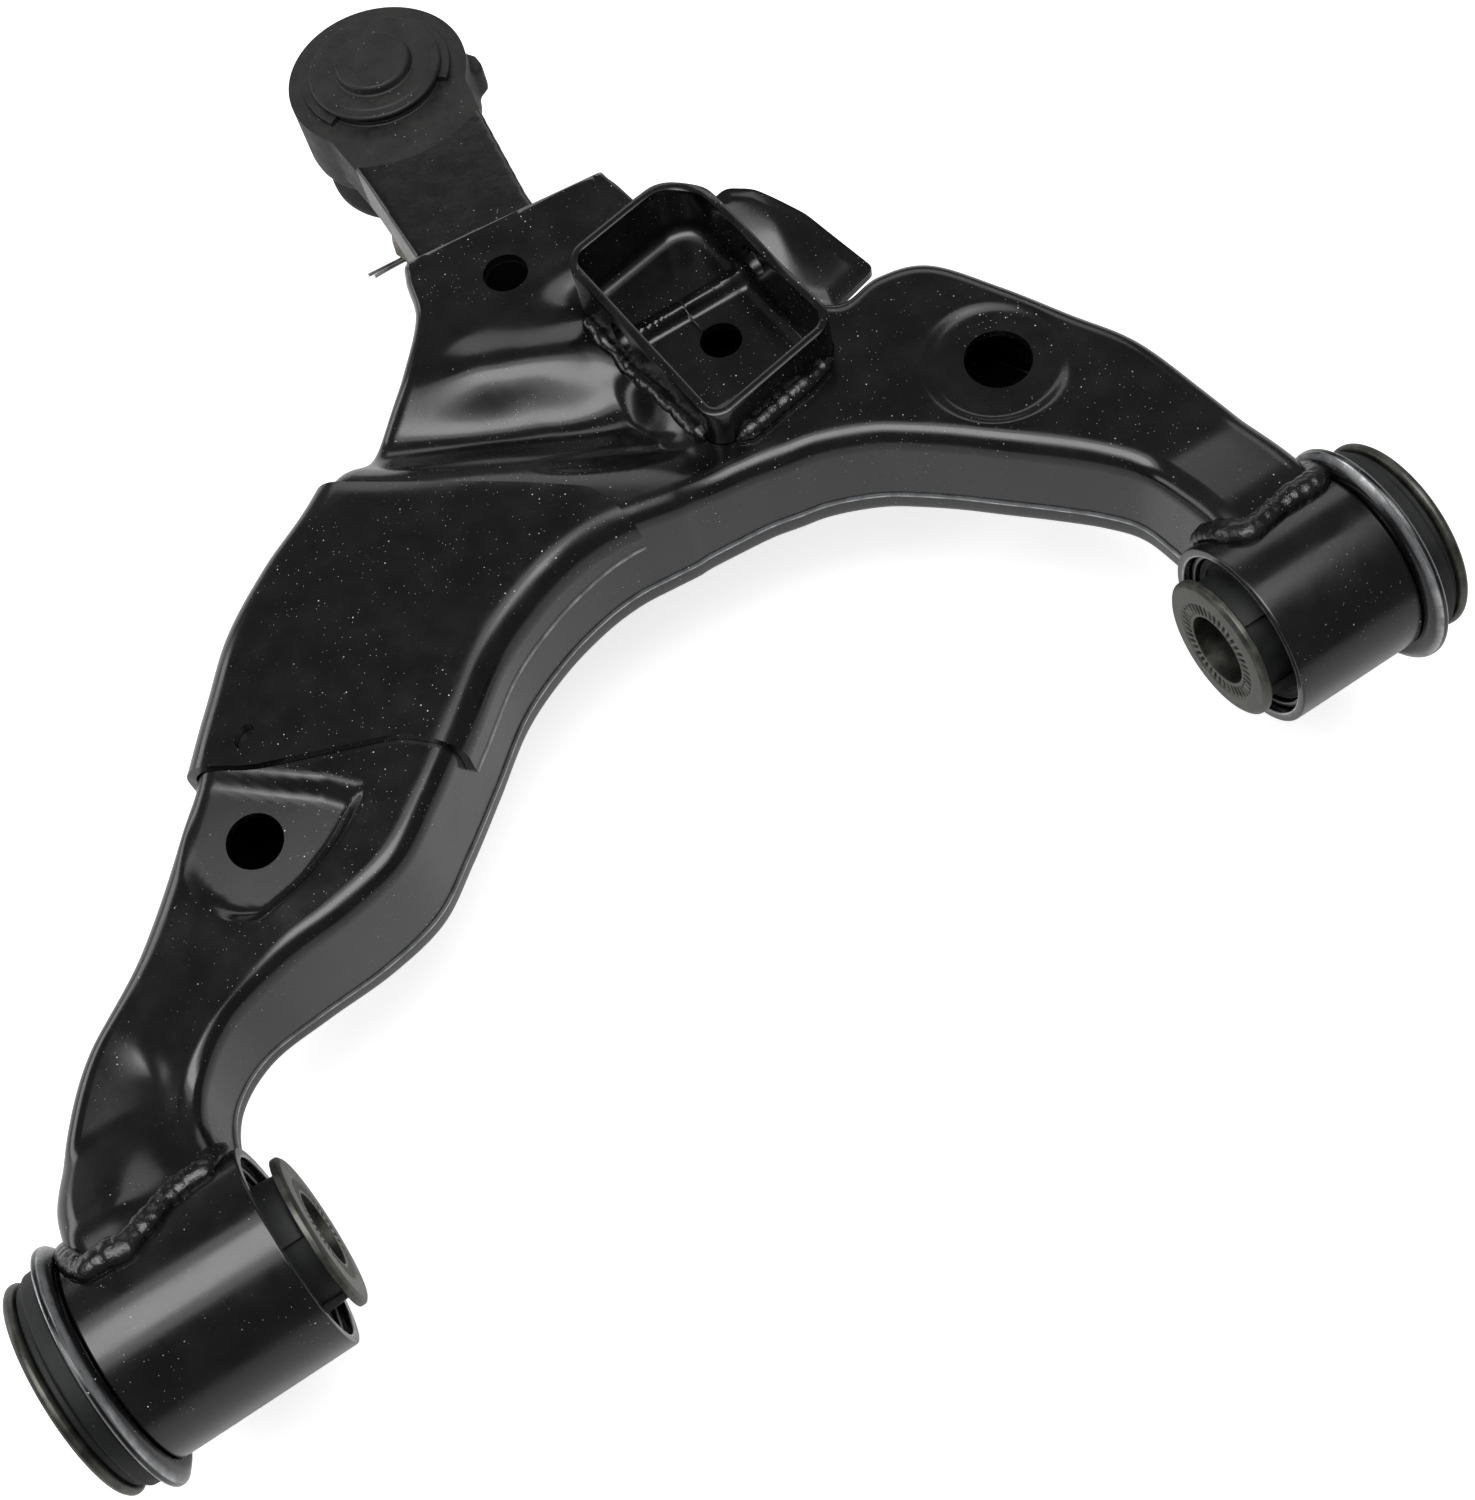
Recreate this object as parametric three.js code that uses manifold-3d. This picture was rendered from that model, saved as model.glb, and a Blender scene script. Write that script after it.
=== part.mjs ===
// Front lower control arm: a pressed-steel wishbone with two rubber bushes and a ball joint.
// Frame while building: X along the bush axis, +Y outboard to the ball joint, +Z up.
import * as THREE from 'three';
import { mergeVertices } from 'three/addons/utils/BufferGeometryUtils.js';
import Module from 'manifold-3d';

const wasm = await Module();
wasm.setup();

// ---- driving dimensions, mm ----
const eyeSpan = 366;          // between the inner ends of the two eye tubes
const reach = 398.5;          // bush axis to ball joint centre
const ballOffset = 64.3;      // ball joint centre along the bush axis from the middle
const sheet = 3.2;            // pressed sheet of the two shells
const plateSheet = 3.3;       // strike plate and gusset sheet
const gap = 0.3;              // clearance between touching pieces
const seamZ = -12;            // lower edge of the upper shell
const floorZ = -24;           // underside of the lower shell
const lap = 9;                // how far the lower shell reaches up inside the upper one
const noseZ = 21.5;           // top of the nose
const crownZ = 36;            // top under the strike plate
const cornerRadius = 8;       // pressed edge of the shells
const endRun = 4;             // inner blocks run this far past the leg ends

const eyeRadius = 36;         // left eye tube
const rightShrink = 2;        // how much smaller the right bush is in radius
const eyeWall = 3.5;
const sleeveWall = 2;
const collarLip = 6.8;        // rolled collar of the outer sleeve, out from the tube
const collarThick = 5;
const boreRadius = 12;
const coreWall = 5;           // wall of the inner sleeve
const faceRadius = 27;        // flange on the inner sleeve
const faceThick = 3.2;
const faceStandOff = 9.5;     // flange face beyond the tube mouth
const thrustThick = 9.5;      // rubber ring outside the collar
const endPlateThick = 3.6;
const thrustStep = 4.5;       // rubber ring in from the collar
const endPlateStep = 5.2;     // end plate in from the collar
const tubeLengths = { left: 67.2, right: 54.5 };

const ballZ = -2;
const ballRadius = 14;
const ballPlay = 0.35;        // seat to ball
const seatWall = 5.35;
const seatWrap = 60;          // degrees from straight down where the seat lets go of the ball
const housingWall = 6.7;
const housingTop = 20.5;
const capRadius = 15;
const capHeight = 3.5;
const spotFaceZ = 15.4;       // machined top of the forged eye
const forgedWall = 9.3;
const flangeLip = 4.8;        // housing flange out from its body
const forgedBottom = -13;
const ringThick = 2.2;
const ringLip = 3.3;          // snap ring out from the housing
const neckRadius = 8.5;
const tiltLimit = 22;         // degrees the stud may lean
const taperTop = -38;
const taperLength = 28;
const threadRadius = 8.9;
const studEnd = -97;
const nutFlats = 27;
const nutHeight = 17;
const nutTop = -71;
const pinRadius = 1.6;
const bootBulge = 8.6;        // boot out from its groove
const bootSheet = 1.8;
const strapDepth = 25;        // thickness of the forged strap
const strapWidth = 49;

const mouth = { left: 302, slope: -0.11, set: 2.5 };   // sheet edge across the nose; lower shell set back
const leftHole = { x: -129, y: 115, radius: 9.8, panelZ: 30.5 };
const rightHole = { x: 176.5, y: 129.5, radius: 12.2, panelZ: 21.6, panelRadius: 27 };
const plateFlange = 18;       // height where the strike plate's folded edges end
const studLean = 4;           // degrees the stud hangs towards -X at rest
const noseHole = { x: 55, y: 274, radius: 8.6 };       // upper shell; the strap has a smaller one
const trayHole = { x: 40, y: 190, radius: 8 };
const plateHole = { x: -114, y: 146, radius: 3.5 };

// the shock absorber's cup
const pocket = {
  x: 102, y: 207.5, width: 59, length: 96, sheet: 3.5, rimZ: 42, floorZ: 10,
  corner: 9, cut: 18,         // corner radii; `cut` is the far right one
  step: 3,                    // how much higher the floor lies towards the ball joint
};
const drain = { aside: 3, back: 4, radius: 8 };        // from the middle of the cup
const crossBolt = { radius: 6.5, z: 31, ahead: 6 };

const eyeWeldRadius = 5.4;
const noseWeldRadius = 2.4;

const roundFacets = 24;        // facets round a turned piece
const bushFacets = 28;
const ballRows = 9;

// ---- frame helpers ----
const spanScale = eyeSpan / 366;
const reachScale = reach / 398.5;
const at = (x, y) => new THREE.Vector2(x * spanScale, y * reachScale);
const ballX = ballOffset * spanScale;
const tubeRadius = side => (side === 'left' ? eyeRadius : eyeRadius - rightShrink);
const collarRadius = side => tubeRadius(side) + collarLip;
const seatRadius = ballRadius + ballPlay;
const seatOuter = seatRadius + seatWall;
const housingRadius = seatOuter + gap + housingWall;
const forgedRadius = housingRadius + gap + forgedWall;
const group = new THREE.Group();

const finishes = {
  paint: { color: 0x101112, roughness: 0.25, metalness: 0.3 },
  forged: { color: 0x262826, roughness: 0.6, metalness: 0.5 },
  plated: { color: 0x4a4b46, roughness: 0.5, metalness: 0.7 },
  rubber: { color: 0x17181a, roughness: 0.8, metalness: 0 },
  polymer: { color: 0xd8d4c4, roughness: 0.5, metalness: 0 },
  steel: { color: 0x8f9193, roughness: 0.35, metalness: 1 },
};

function addPiece(name, geometry, finish) {
  geometry.computeVertexNormals();
  const mesh = new THREE.Mesh(geometry, new THREE.MeshStandardMaterial(finishes[finish]));
  mesh.name = name;
  group.add(mesh);
}

function solid(geometry) {
  const bare = geometry.index ? geometry.clone() : geometry;
  bare.deleteAttribute('normal');
  bare.deleteAttribute('uv');
  const merged = mergeVertices(bare, 1e-4);
  return new wasm.Manifold(new wasm.Mesh({
    numProp: 3,
    vertProperties: new Float32Array(merged.attributes.position.array),
    triVerts: new Uint32Array(merged.index.array),
  }));
}

function geometryOf(manifold) {
  const mesh = manifold.getMesh();
  const geometry = new THREE.BufferGeometry();
  geometry.setAttribute('position', new THREE.BufferAttribute(new Float32Array(mesh.vertProperties), 3));
  geometry.setIndex(new THREE.BufferAttribute(new Uint32Array(mesh.triVerts), 1));
  return geometry;
}

// a profile of [radius, height] pairs turned about Z, closed on itself when it keeps off the axis
function lathe(profile, segments) {
  const points = profile.map(([r, z]) => new THREE.Vector2(r, z));
  if (profile.every(([r]) => r > 0)) points.push(points[0].clone());
  return new THREE.LatheGeometry(points, segments).rotateX(Math.PI / 2).scale(1, -1, 1);
}

function turned(profile, segments = roundFacets) {
  return outwardSolid(lathe(profile, segments));
}

// faces turned round if the form was traced the other way
function outwardSolid(geometry) {
  const body = solid(geometry.clone());
  return body.volume() < 0 ? solid(flip(geometry)) : body;
}

function flip(geometry) {
  const index = geometry.index.array;
  for (let i = 0; i < index.length; i += 3) [index[i], index[i + 1]] = [index[i + 1], index[i]];
  return geometry;
}

function prism(shape, bottom, top, bevel = 0) {
  const geometry = new THREE.ExtrudeGeometry(shape, {
    depth: top - bottom - 2 * bevel, bevelEnabled: bevel > 0, bevelSize: bevel, bevelThickness: bevel,
    bevelOffset: -bevel, bevelSegments: 2, curveSegments: 6,
  });
  return geometry.translate(0, 0, bottom + bevel);
}

const shapeOf = points => new THREE.Shape(points.map(p => new THREE.Vector2(p.x ?? p[0], p.y ?? p[1])));

function roundedRect(cx, cy, width, length, radius, farRight = radius) {
  const [x0, x1, y0, y1] = [cx - width / 2, cx + width / 2, cy - length / 2, cy + length / 2];
  const shape = new THREE.Shape();
  shape.moveTo(x0 + radius, y0);
  shape.lineTo(x1 - radius, y0);
  shape.absarc(x1 - radius, y0 + radius, radius, -Math.PI / 2, 0);
  shape.lineTo(x1, y1 - farRight);
  shape.absarc(x1 - farRight, y1 - farRight, farRight, 0, Math.PI / 2);
  shape.lineTo(x0 + radius, y1);
  shape.absarc(x0 + radius, y1 - radius, radius, Math.PI / 2, Math.PI);
  shape.lineTo(x0, y0 + radius);
  shape.absarc(x0 + radius, y0 + radius, radius, Math.PI, 1.5 * Math.PI);
  return shape;
}

const disc = (x, y, radius) => new THREE.Shape().absarc(x, y, radius, 0, 2 * Math.PI);
const smooth = (a, b, v) => THREE.MathUtils.smoothstep(v, a, b);

// ---- plan of the wishbone: each station joins the inner curve to the outer edge ----
const stations = [
  [[-187, 6], [-241, 6]], [[-187, 30], [-241, 30]], [[-187, 45], [-239, 48]], [[-180, 58], [-228, 70]],
  [[-165, 67], [-209, 92]], [[-143, 70], [-180, 110]], [[-116, 72], [-156, 128]], [[-92, 78], [-136, 147]],
  [[-72, 92], [-118, 167]], [[-52, 108], [-100, 187]], [[-30, 126], [-78, 203]], [[-8, 137], [-52, 218]],
  [[12, 143], [-28, 241]], [[28, 145], [0, 261]], [[42, 144], [18, 281]], [[52, 143], [24, 300]],
  [[58, 143], [32, 309]], [[70, 142], [68, 307]], [[80, 141], [104, 304]], [[86, 140], [110, 292]],
  [[94, 138], [113, 272]], [[103, 136], [121, 240]], [[113, 132], [131, 208]], [[124, 126], [145, 187]],
  [[134, 118], [164, 188]], [[144, 109], [182, 181]], [[155, 98], [197, 158]], [[168, 85], [210, 133]],
  [[180, 72], [222, 109]], [[188, 60], [228, 77]], [[191, 45], [232, 47]], [[192, 30], [233, 30]],
  [[192, 12], [233, 12]],
].map(([inner, outer]) => [at(...inner), at(...outer)]);

// height of the pressed top: low along the legs with ends that flare up over the eye tubes,
// a crown under the strike plate, a level nose, and a valley pressed across between the two
function topHeight(point) {
  const x = point.x / spanScale;
  const y = point.y / reachScale;
  const rise = 17 + (crownZ - 17) * smooth(-205, -125, x);
  const along = rise + (24 - crownZ) * smooth(0, 90, x) - 3 * smooth(170, 230, x);
  const flare = x < 0 ? 5 + 9 * smooth(195, 225, -x) : 5.5;
  const legs = along + flare * (1 - smooth(30, 62, y));
  const nose = smooth(228, 262, y) * smooth(-60, -20, x);
  const level = legs + (noseZ - legs) * nose;
  const fromValley = (y - 247) + 0.57 * (x + 30);
  const valley = Math.exp(-((fromValley / 24) ** 2)) * smooth(-75, -20, x) * (1 - smooth(60, 78, x));
  return level - Math.max(level - 7, 0) * 0.9 * valley;
}

// one ring of points across the arm, pulled in by `inset` all round and cut off flat at `bottom`;
// the inner blocks run on past the ends, so that the legs stay open where the eye tubes cross them
function ringAt(i, inset, bottom) {
  const [a, b] = stations[i];
  const atEnd = i === 0 || i === stations.length - 1;
  const shift = new THREE.Vector2(0, atEnd && inset > 0 ? -endRun : 0);
  const before = stations[Math.max(i - 1, 0)];
  const after = stations[Math.min(i + 1, stations.length - 1)];
  const inwards = (side, sign) => {
    const d = after[side].clone().sub(before[side]).normalize();
    return new THREE.Vector2(-d.y * sign, d.x * sign);
  };
  const p = a.clone().addScaledVector(inwards(0, 1), inset).add(shift);
  const q = b.clone().addScaledVector(inwards(1, -1), inset).add(shift);
  const span = p.distanceTo(q);
  const radius = Math.max(cornerRadius - inset, 2);
  const top = t => topHeight(p.clone().lerp(q, t)) - inset;
  const ring = [[0, bottom]];
  const turns = 3;
  for (let k = 0; k <= turns; k++) {
    const turn = (k / turns) * Math.PI / 2;
    const t = radius * (1 - Math.cos(turn)) / span;
    ring.push([t, top(t) - radius * (1 - Math.sin(turn))]);
  }
  for (const t of [0.25, 0.4, 0.55, 0.7, 0.85]) ring.push([t, top(t)]);
  for (let k = turns; k >= 0; k--) {
    const turn = (k / turns) * Math.PI / 2;
    const t = 1 - radius * (1 - Math.cos(turn)) / span;
    ring.push([t, top(t) - radius * (1 - Math.sin(turn))]);
  }
  ring.push([1, bottom]);
  return ring.map(([t, z]) => {
    const plan = p.clone().lerp(q, t);
    return new THREE.Vector3(plan.x, plan.y, Math.max(z, bottom));
  });
}

function loft(rings) {
  const n = rings[0].length;
  const index = [];
  for (let i = 0; i + 1 < rings.length; i++) {
    for (let j = 0; j < n; j++) {
      const [a, b] = [i * n + j, i * n + (j + 1) % n];
      index.push(a, b, a + n, b, b + n, a + n);
    }
  }
  const last = (rings.length - 1) * n;
  for (let j = 1; j + 1 < n; j++) {
    index.push(0, j + 1, j);
    index.push(last, last + j, last + j + 1);
  }
  const geometry = new THREE.BufferGeometry().setFromPoints(rings.flat());
  geometry.setIndex(index);
  return geometry;
}

function armBlock(inset, bottom, from = 0, to = stations.length - 1) {
  const rings = [];
  for (let i = from; i <= to; i++) rings.push(ringAt(i, inset, bottom));
  return outwardSolid(loft(rings));
}

// floor of the lower shell: same plan, flat, with square edges
function trayBlock(inset, bottom, top) {
  const rings = stations.map((_, i) => {
    const ring = ringAt(i, inset, bottom);
    const [p, q] = [ring[0], ring[ring.length - 1]];
    const inwardsStep = q.clone().sub(p).normalize().multiplyScalar(3);
    const low = p.clone().add(inwardsStep);
    const far = q.clone().sub(inwardsStep);
    return [
      p.clone().setZ(top), p.clone().setZ(bottom + 3), low.setZ(bottom),
      far.setZ(bottom), q.clone().setZ(bottom + 3), q.clone().setZ(top),
    ];
  });
  return outwardSolid(loft(rings));
}

// ---- eye tubes and bushes ----
function rodAlongX(radius, from, to) {
  const rod = new THREE.CylinderGeometry(radius, radius, to - from, bushFacets);
  return solid(rod.rotateZ(Math.PI / 2).translate((from + to) / 2, 0, 0));
}

// what the legs are cut back from: the eye tubes and the collars pressed into them
function tubeZone(grow) {
  const half = eyeSpan / 2;
  const collar = side => half + tubeLengths[side] - collarThick - gap - grow;
  const far = half + 2 * tubeLengths.left;
  return rodAlongX(tubeRadius('left') + grow, -far, 0)
    .add(rodAlongX(tubeRadius('right') + grow, 0, far))
    .add(rodAlongX(collarRadius('left') + grow, -far, -collar('left')))
    .add(rodAlongX(collarRadius('right') + grow, collar('right'), far));
}

const along = (geometry, side) => {
  const sign = side === 'left' ? -1 : 1;
  geometry.rotateY(Math.PI / 2);
  if (sign < 0) geometry.rotateZ(Math.PI);
  return geometry.translate(sign * eyeSpan / 2, 0, 0);
};

const coreRadius = boreRadius + coreWall;

function bush(side) {
  const length = tubeLengths[side];
  const radius = tubeRadius(side);
  const rim = collarRadius(side);
  const flange = faceRadius - (side === 'left' ? 0 : rightShrink / 2);
  const sleeveOuter = radius - eyeWall - gap;
  const sleeveInner = sleeveOuter - sleeveWall;
  const collarStart = length - collarThick;
  const add = (name, manifold, finish) => {
    addPiece(`${side}_${name}`, along(geometryOf(manifold), side), finish);
  };
  add('eye_tube', turned([
    [radius - eyeWall, 0], [radius, 0], [radius, collarStart - gap], [radius - eyeWall, collarStart - gap],
  ], bushFacets), 'paint');
  add('outer_sleeve', turned([
    [sleeveInner, 3], [sleeveOuter, 3], [sleeveOuter, collarStart], [rim - 3, collarStart],
    [rim, collarStart + 3], [rim, length], [sleeveInner, length],
  ], bushFacets), 'paint');
  const rubberOuter = sleeveInner - gap;
  const rubberInner = coreRadius + gap;
  const mouth = -faceStandOff + faceThick + gap;
  const thrustRadius = rim - thrustStep;
  const rubber = turned([
    [rubberInner, mouth], [rubberInner + 5, mouth], [rubberInner + 7, 4], [rubberOuter, 8],
    [rubberOuter, length - 6], [rubberInner + 5, length - 3], [rubberInner, length - 3],
  ], bushFacets);
  const crescents = solid(voids(side, rubberInner + 3, rubberOuter - 2.4, length));
  add('bush_rubber', rubber.subtract(crescents), 'rubber');
  add('thrust_rubber', turned([
    [rubberInner + 2, length + gap], [thrustRadius - 1, length + gap], [thrustRadius, length + 1.5],
    [thrustRadius - 0.4, length + thrustThick - 3], [thrustRadius - 2.6, length + thrustThick - 2.4],
    [thrustRadius - 2.6, length + thrustThick], [rubberInner + 2, length + thrustThick],
  ], bushFacets), 'rubber');
  const plateStart = length + thrustThick + gap;
  const plateEnd = plateStart + endPlateThick;
  const plateRadius = rim - endPlateStep;
  add('end_plate', turned([
    [coreRadius + gap, plateStart], [plateRadius - 1, plateStart], [plateRadius, plateStart + 1],
    [plateRadius, plateEnd - 1.2], [plateRadius - 1.2, plateEnd], [coreRadius + gap, plateEnd],
  ], bushFacets), 'paint');
  add('inner_sleeve', turned([
    [boreRadius + 1.2, -faceStandOff], [flange - 1, -faceStandOff], [flange, -faceStandOff + 1],
    [flange, -faceStandOff + faceThick], [coreRadius, -faceStandOff + faceThick],
    [coreRadius, plateEnd], [boreRadius, plateEnd], [boreRadius, -faceStandOff + 1.2],
  ], bushFacets), 'plated');
}

// the two crescent voids that soften the rubber in one direction
function voids(side, inner, outer, length) {
  const half = 0.72;
  const tilt = side === 'left' ? 0.52 : -0.52;
  const crescent = centre => {
    const shape = new THREE.Shape();
    shape.absarc(0, 0, outer, centre - half, centre + half, false);
    shape.absarc(0, 0, inner, centre + half, centre - half, true);
    return prism(shape, -faceStandOff, length);
  };
  const both = [tilt + Math.PI / 2, tilt - Math.PI / 2].map(crescent);
  const joined = both.map(g => solid(g)).reduce((a, b) => a.add(b));
  return geometryOf(joined);
}

// ---- shells ----
const throughHole = (x, y, radius, low = floorZ - 5, high = 60) => {
  const p = at(x, y);
  return solid(prism(disc(p.x, p.y, radius), low, high));
};

const pocketCentre = at(pocket.x, pocket.y);

function pocketBlock(grow) {
  const width = pocket.width + 2 * grow;
  const length = pocket.length + 2 * grow;
  const outline = roundedRect(
    pocketCentre.x, pocketCentre.y, width, length, pocket.corner + grow, pocket.cut + grow,
  );
  return solid(prism(outline, pocket.floorZ - grow, pocket.rimZ + 20));
}

const strapTop = noseZ - sheet - 0.4;
const strapBottom = strapTop - strapDepth;
const mouthX = at(32, 296);
const strapOutline = () => {
  const root = pocketCentre.y + pocket.length / 2 + 2.5;
  return shapeOf([
    [mouthX.x, root], [mouthX.x + strapWidth, root], [mouthX.x + strapWidth, mouthX.y + 8],
    [ballX + 24, reach - 42], [ballX + 32, reach], [ballX - 32, reach], [ballX - 30, reach - 44],
    [mouthX.x, mouthX.y + 8],
  ]);
};
const mouthCut = () => {
  const bottom = strapBottom - gap;
  const cut = shapeOf([
    [mouthX.x - gap, mouthX.y - 12], [mouthX.x + strapWidth + gap, mouthX.y - 12],
    [mouthX.x + strapWidth + gap, mouthX.y + 12], [mouthX.x - gap, mouthX.y + 12],
  ]);
  return solid(prism(cut, bottom, strapTop + gap));
};

const eyeHole = ({ x, y, radius }, less = 0) => throughHole(x, y, radius - less);

// panels pressed down about the two holes, three-sided on the left leg and round on the right one;
// `sink` is how far the inside of the sheet lies below the outside
const leftOutline = [
  [-159, 118], [-158, 104], [-153, 92], [-141, 84.5], [-123, 88], [-104, 96.5], [-88, 108], [-99, 118],
  [-117, 140], [-140, 153],
];

function sunkPanels(sink) {
  const slope = 5;
  const wider = 1 + 0.04 * sink / sheet;
  const middle = at(leftHole.x, leftHole.y);
  const three = shapeOf(leftOutline.map(p => at(...p).sub(middle).multiplyScalar(wider).add(middle)));
  const centre = at(rightHole.x - 2, rightHole.y - 1);
  const round = disc(centre.x, centre.y, rightHole.panelRadius * wider);
  const left = solid(prism(three, leftHole.panelZ - sink, crownZ + 30, slope));
  return left.add(solid(prism(round, rightHole.panelZ - sink, crownZ + 30, slope)));
}

// the sheet edge of the nose, `set` further in for the lower shell, and everything beyond it
const mouthEdge = (x, set = 0) => at(x, mouth.left + mouth.slope * (x - 28) - set);

function beyondMouth(set) {
  const cut = shapeOf([mouthEdge(-60, set), mouthEdge(160, set), at(160, 400), at(-60, 400)]);
  return solid(prism(cut, floorZ - 10, 80));
}

function shells() {
  const outer = armBlock(0, seamZ).subtract(sunkPanels(0));
  const inner = armBlock(sheet, seamZ - 6).subtract(sunkPanels(sheet));
  const upper = outer.subtract(inner).subtract(beyondMouth(0))
    .subtract(tubeZone(gap))
    .subtract(pocketBlock(gap))
    .subtract(mouthCut())
    .subtract(eyeHole(leftHole).add(eyeHole(rightHole)))
    .subtract(throughHole(noseHole.x, noseHole.y, noseHole.radius));
  addPiece('upper_shell', geometryOf(upper), 'paint');
  const nest = sheet + gap;
  const lower = trayBlock(nest, floorZ, seamZ + lap)
    .subtract(trayBlock(nest + sheet, floorZ + sheet, seamZ + lap + 5))
    .subtract(tubeZone(gap))
    .subtract(mouthCut())
    .subtract(beyondMouth(mouth.set))
    .subtract(eyeHole(leftHole, 3).add(eyeHole(rightHole, 4)))
    .subtract(throughHole(trayHole.x, trayHole.y, trayHole.radius));
  addPiece('lower_shell', geometryOf(lower), 'paint');
}

function strikePlate() {
  const skirt = armBlock(-gap - plateSheet, plateFlange, 4, 16).subtract(armBlock(-gap, seamZ, 3, 17));
  const outline = shapeOf([
    at(-158, 170), at(-137, 149), at(-117, 135), at(-71, 116), at(-48, 92),
    at(20, 120), at(37, 135), at(33, 150), at(30, 162), at(-85, 252),
  ]);
  const plate = skirt.intersect(solid(prism(outline, plateFlange, 60)))
    .subtract(throughHole(plateHole.x, plateHole.y, plateHole.radius));
  addPiece('strike_plate', geometryOf(plate), 'paint');
}

function shockBracket() {
  const { width, length, sheet: wall, rimZ, floorZ: low, corner, cut, step } = pocket;
  const { x, y } = pocketCentre;
  const cup = solid(prism(roundedRect(x, y, width, length, corner, cut), low, rimZ));
  const inside = roundedRect(x, y, width - 2 * wall, length - 2 * wall, corner - wall, cut - wall);
  const stepStart = y + 12;
  const far = shapeOf([
    [x - width, stepStart], [x + width, stepStart], [x + width, y + length], [x - width, y + length],
  ]);
  const room = solid(prism(inside, low + wall, rimZ + 5)).subtract(solid(prism(far, low, low + wall + step)));
  const hole = solid(prism(disc(x + drain.aside, y - drain.back, drain.radius), low - 5, low + 10));
  const bolt = solid(new THREE.CylinderGeometry(crossBolt.radius, crossBolt.radius, width + 20, 24)
    .rotateZ(Math.PI / 2).translate(x, y + crossBolt.ahead, crossBolt.z));
  addPiece('shock_bracket', geometryOf(cup.subtract(room).subtract(hole).subtract(bolt)), 'paint');
}

function sideGusset() {
  const right = pocketCentre.x + pocket.width / 2 + gap;
  const outline = shapeOf([
    [right, at(0, 212).y], at(151, 200), at(173, 206), at(162, 234), at(150, 250), at(141, 255),
    [right, at(0, 253).y],
  ]);
  const geometry = prism(outline, 0, plateSheet);
  const position = geometry.attributes.position;
  const hinge = at(139, 252);
  for (let i = 0; i < position.count; i++) {
    const [x, y] = [position.getX(i), position.getY(i)];
    position.setZ(i, position.getZ(i) + 20 - 0.11 * (x - hinge.x) + 0.4 * (y - hinge.y));
  }
  const body = solid(geometry).subtract(armBlock(-gap, seamZ));
  addPiece('side_gusset', geometryOf(body), 'paint');
}

// ---- forged nose and ball joint ----
const toBall = geometry => geometry.translate(ballX, reach, 0);

function noseForging() {
  const ring = turned([
    [0, forgedBottom], [forgedRadius - 1.5, forgedBottom], [forgedRadius, forgedBottom + 1.5],
    [forgedRadius, spotFaceZ - 1], [forgedRadius - 1, spotFaceZ], [0, spotFaceZ],
  ], roundFacets);
  const eye = solid(toBall(geometryOf(ring)));
  const strap = solid(prism(strapOutline(), strapBottom, strapTop, 2));
  const lug = solid(prism(roundedRect(ballX + forgedRadius, reach - 8, 9, 16, 3), -8, 6));
  const spot = solid(toBall(geometryOf(turned([
    [0, spotFaceZ], [forgedRadius + 13, spotFaceZ], [forgedRadius + 13, strapTop + 5], [0, strapTop + 5],
  ], roundFacets))));
  const bore = solid(toBall(geometryOf(turned([
    [0, forgedBottom - 20], [housingRadius + gap, forgedBottom - 20], [housingRadius + gap, 40], [0, 40],
  ], roundFacets))));
  const hole = throughHole(noseHole.x, noseHole.y, noseHole.radius - 0.4);
  const body = eye.add(strap).add(lug).subtract(spot).subtract(bore).subtract(hole);
  addPiece('nose_forging', geometryOf(body), 'forged');
}

// turns a form about the ball centre as the stud leans; `shareAt` says how much of the lean reaches a height
function leaned(geometry, shareAt = () => 1) {
  const position = geometry.attributes.position;
  for (let i = 0; i < position.count; i++) {
    const [x, z] = [position.getX(i), position.getZ(i) - ballZ];
    const angle = THREE.MathUtils.degToRad(studLean) * shareAt(position.getZ(i));
    position.setX(i, x * Math.cos(angle) + z * Math.sin(angle));
    position.setZ(i, ballZ + z * Math.cos(angle) - x * Math.sin(angle));
  }
  return geometry;
}

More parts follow.
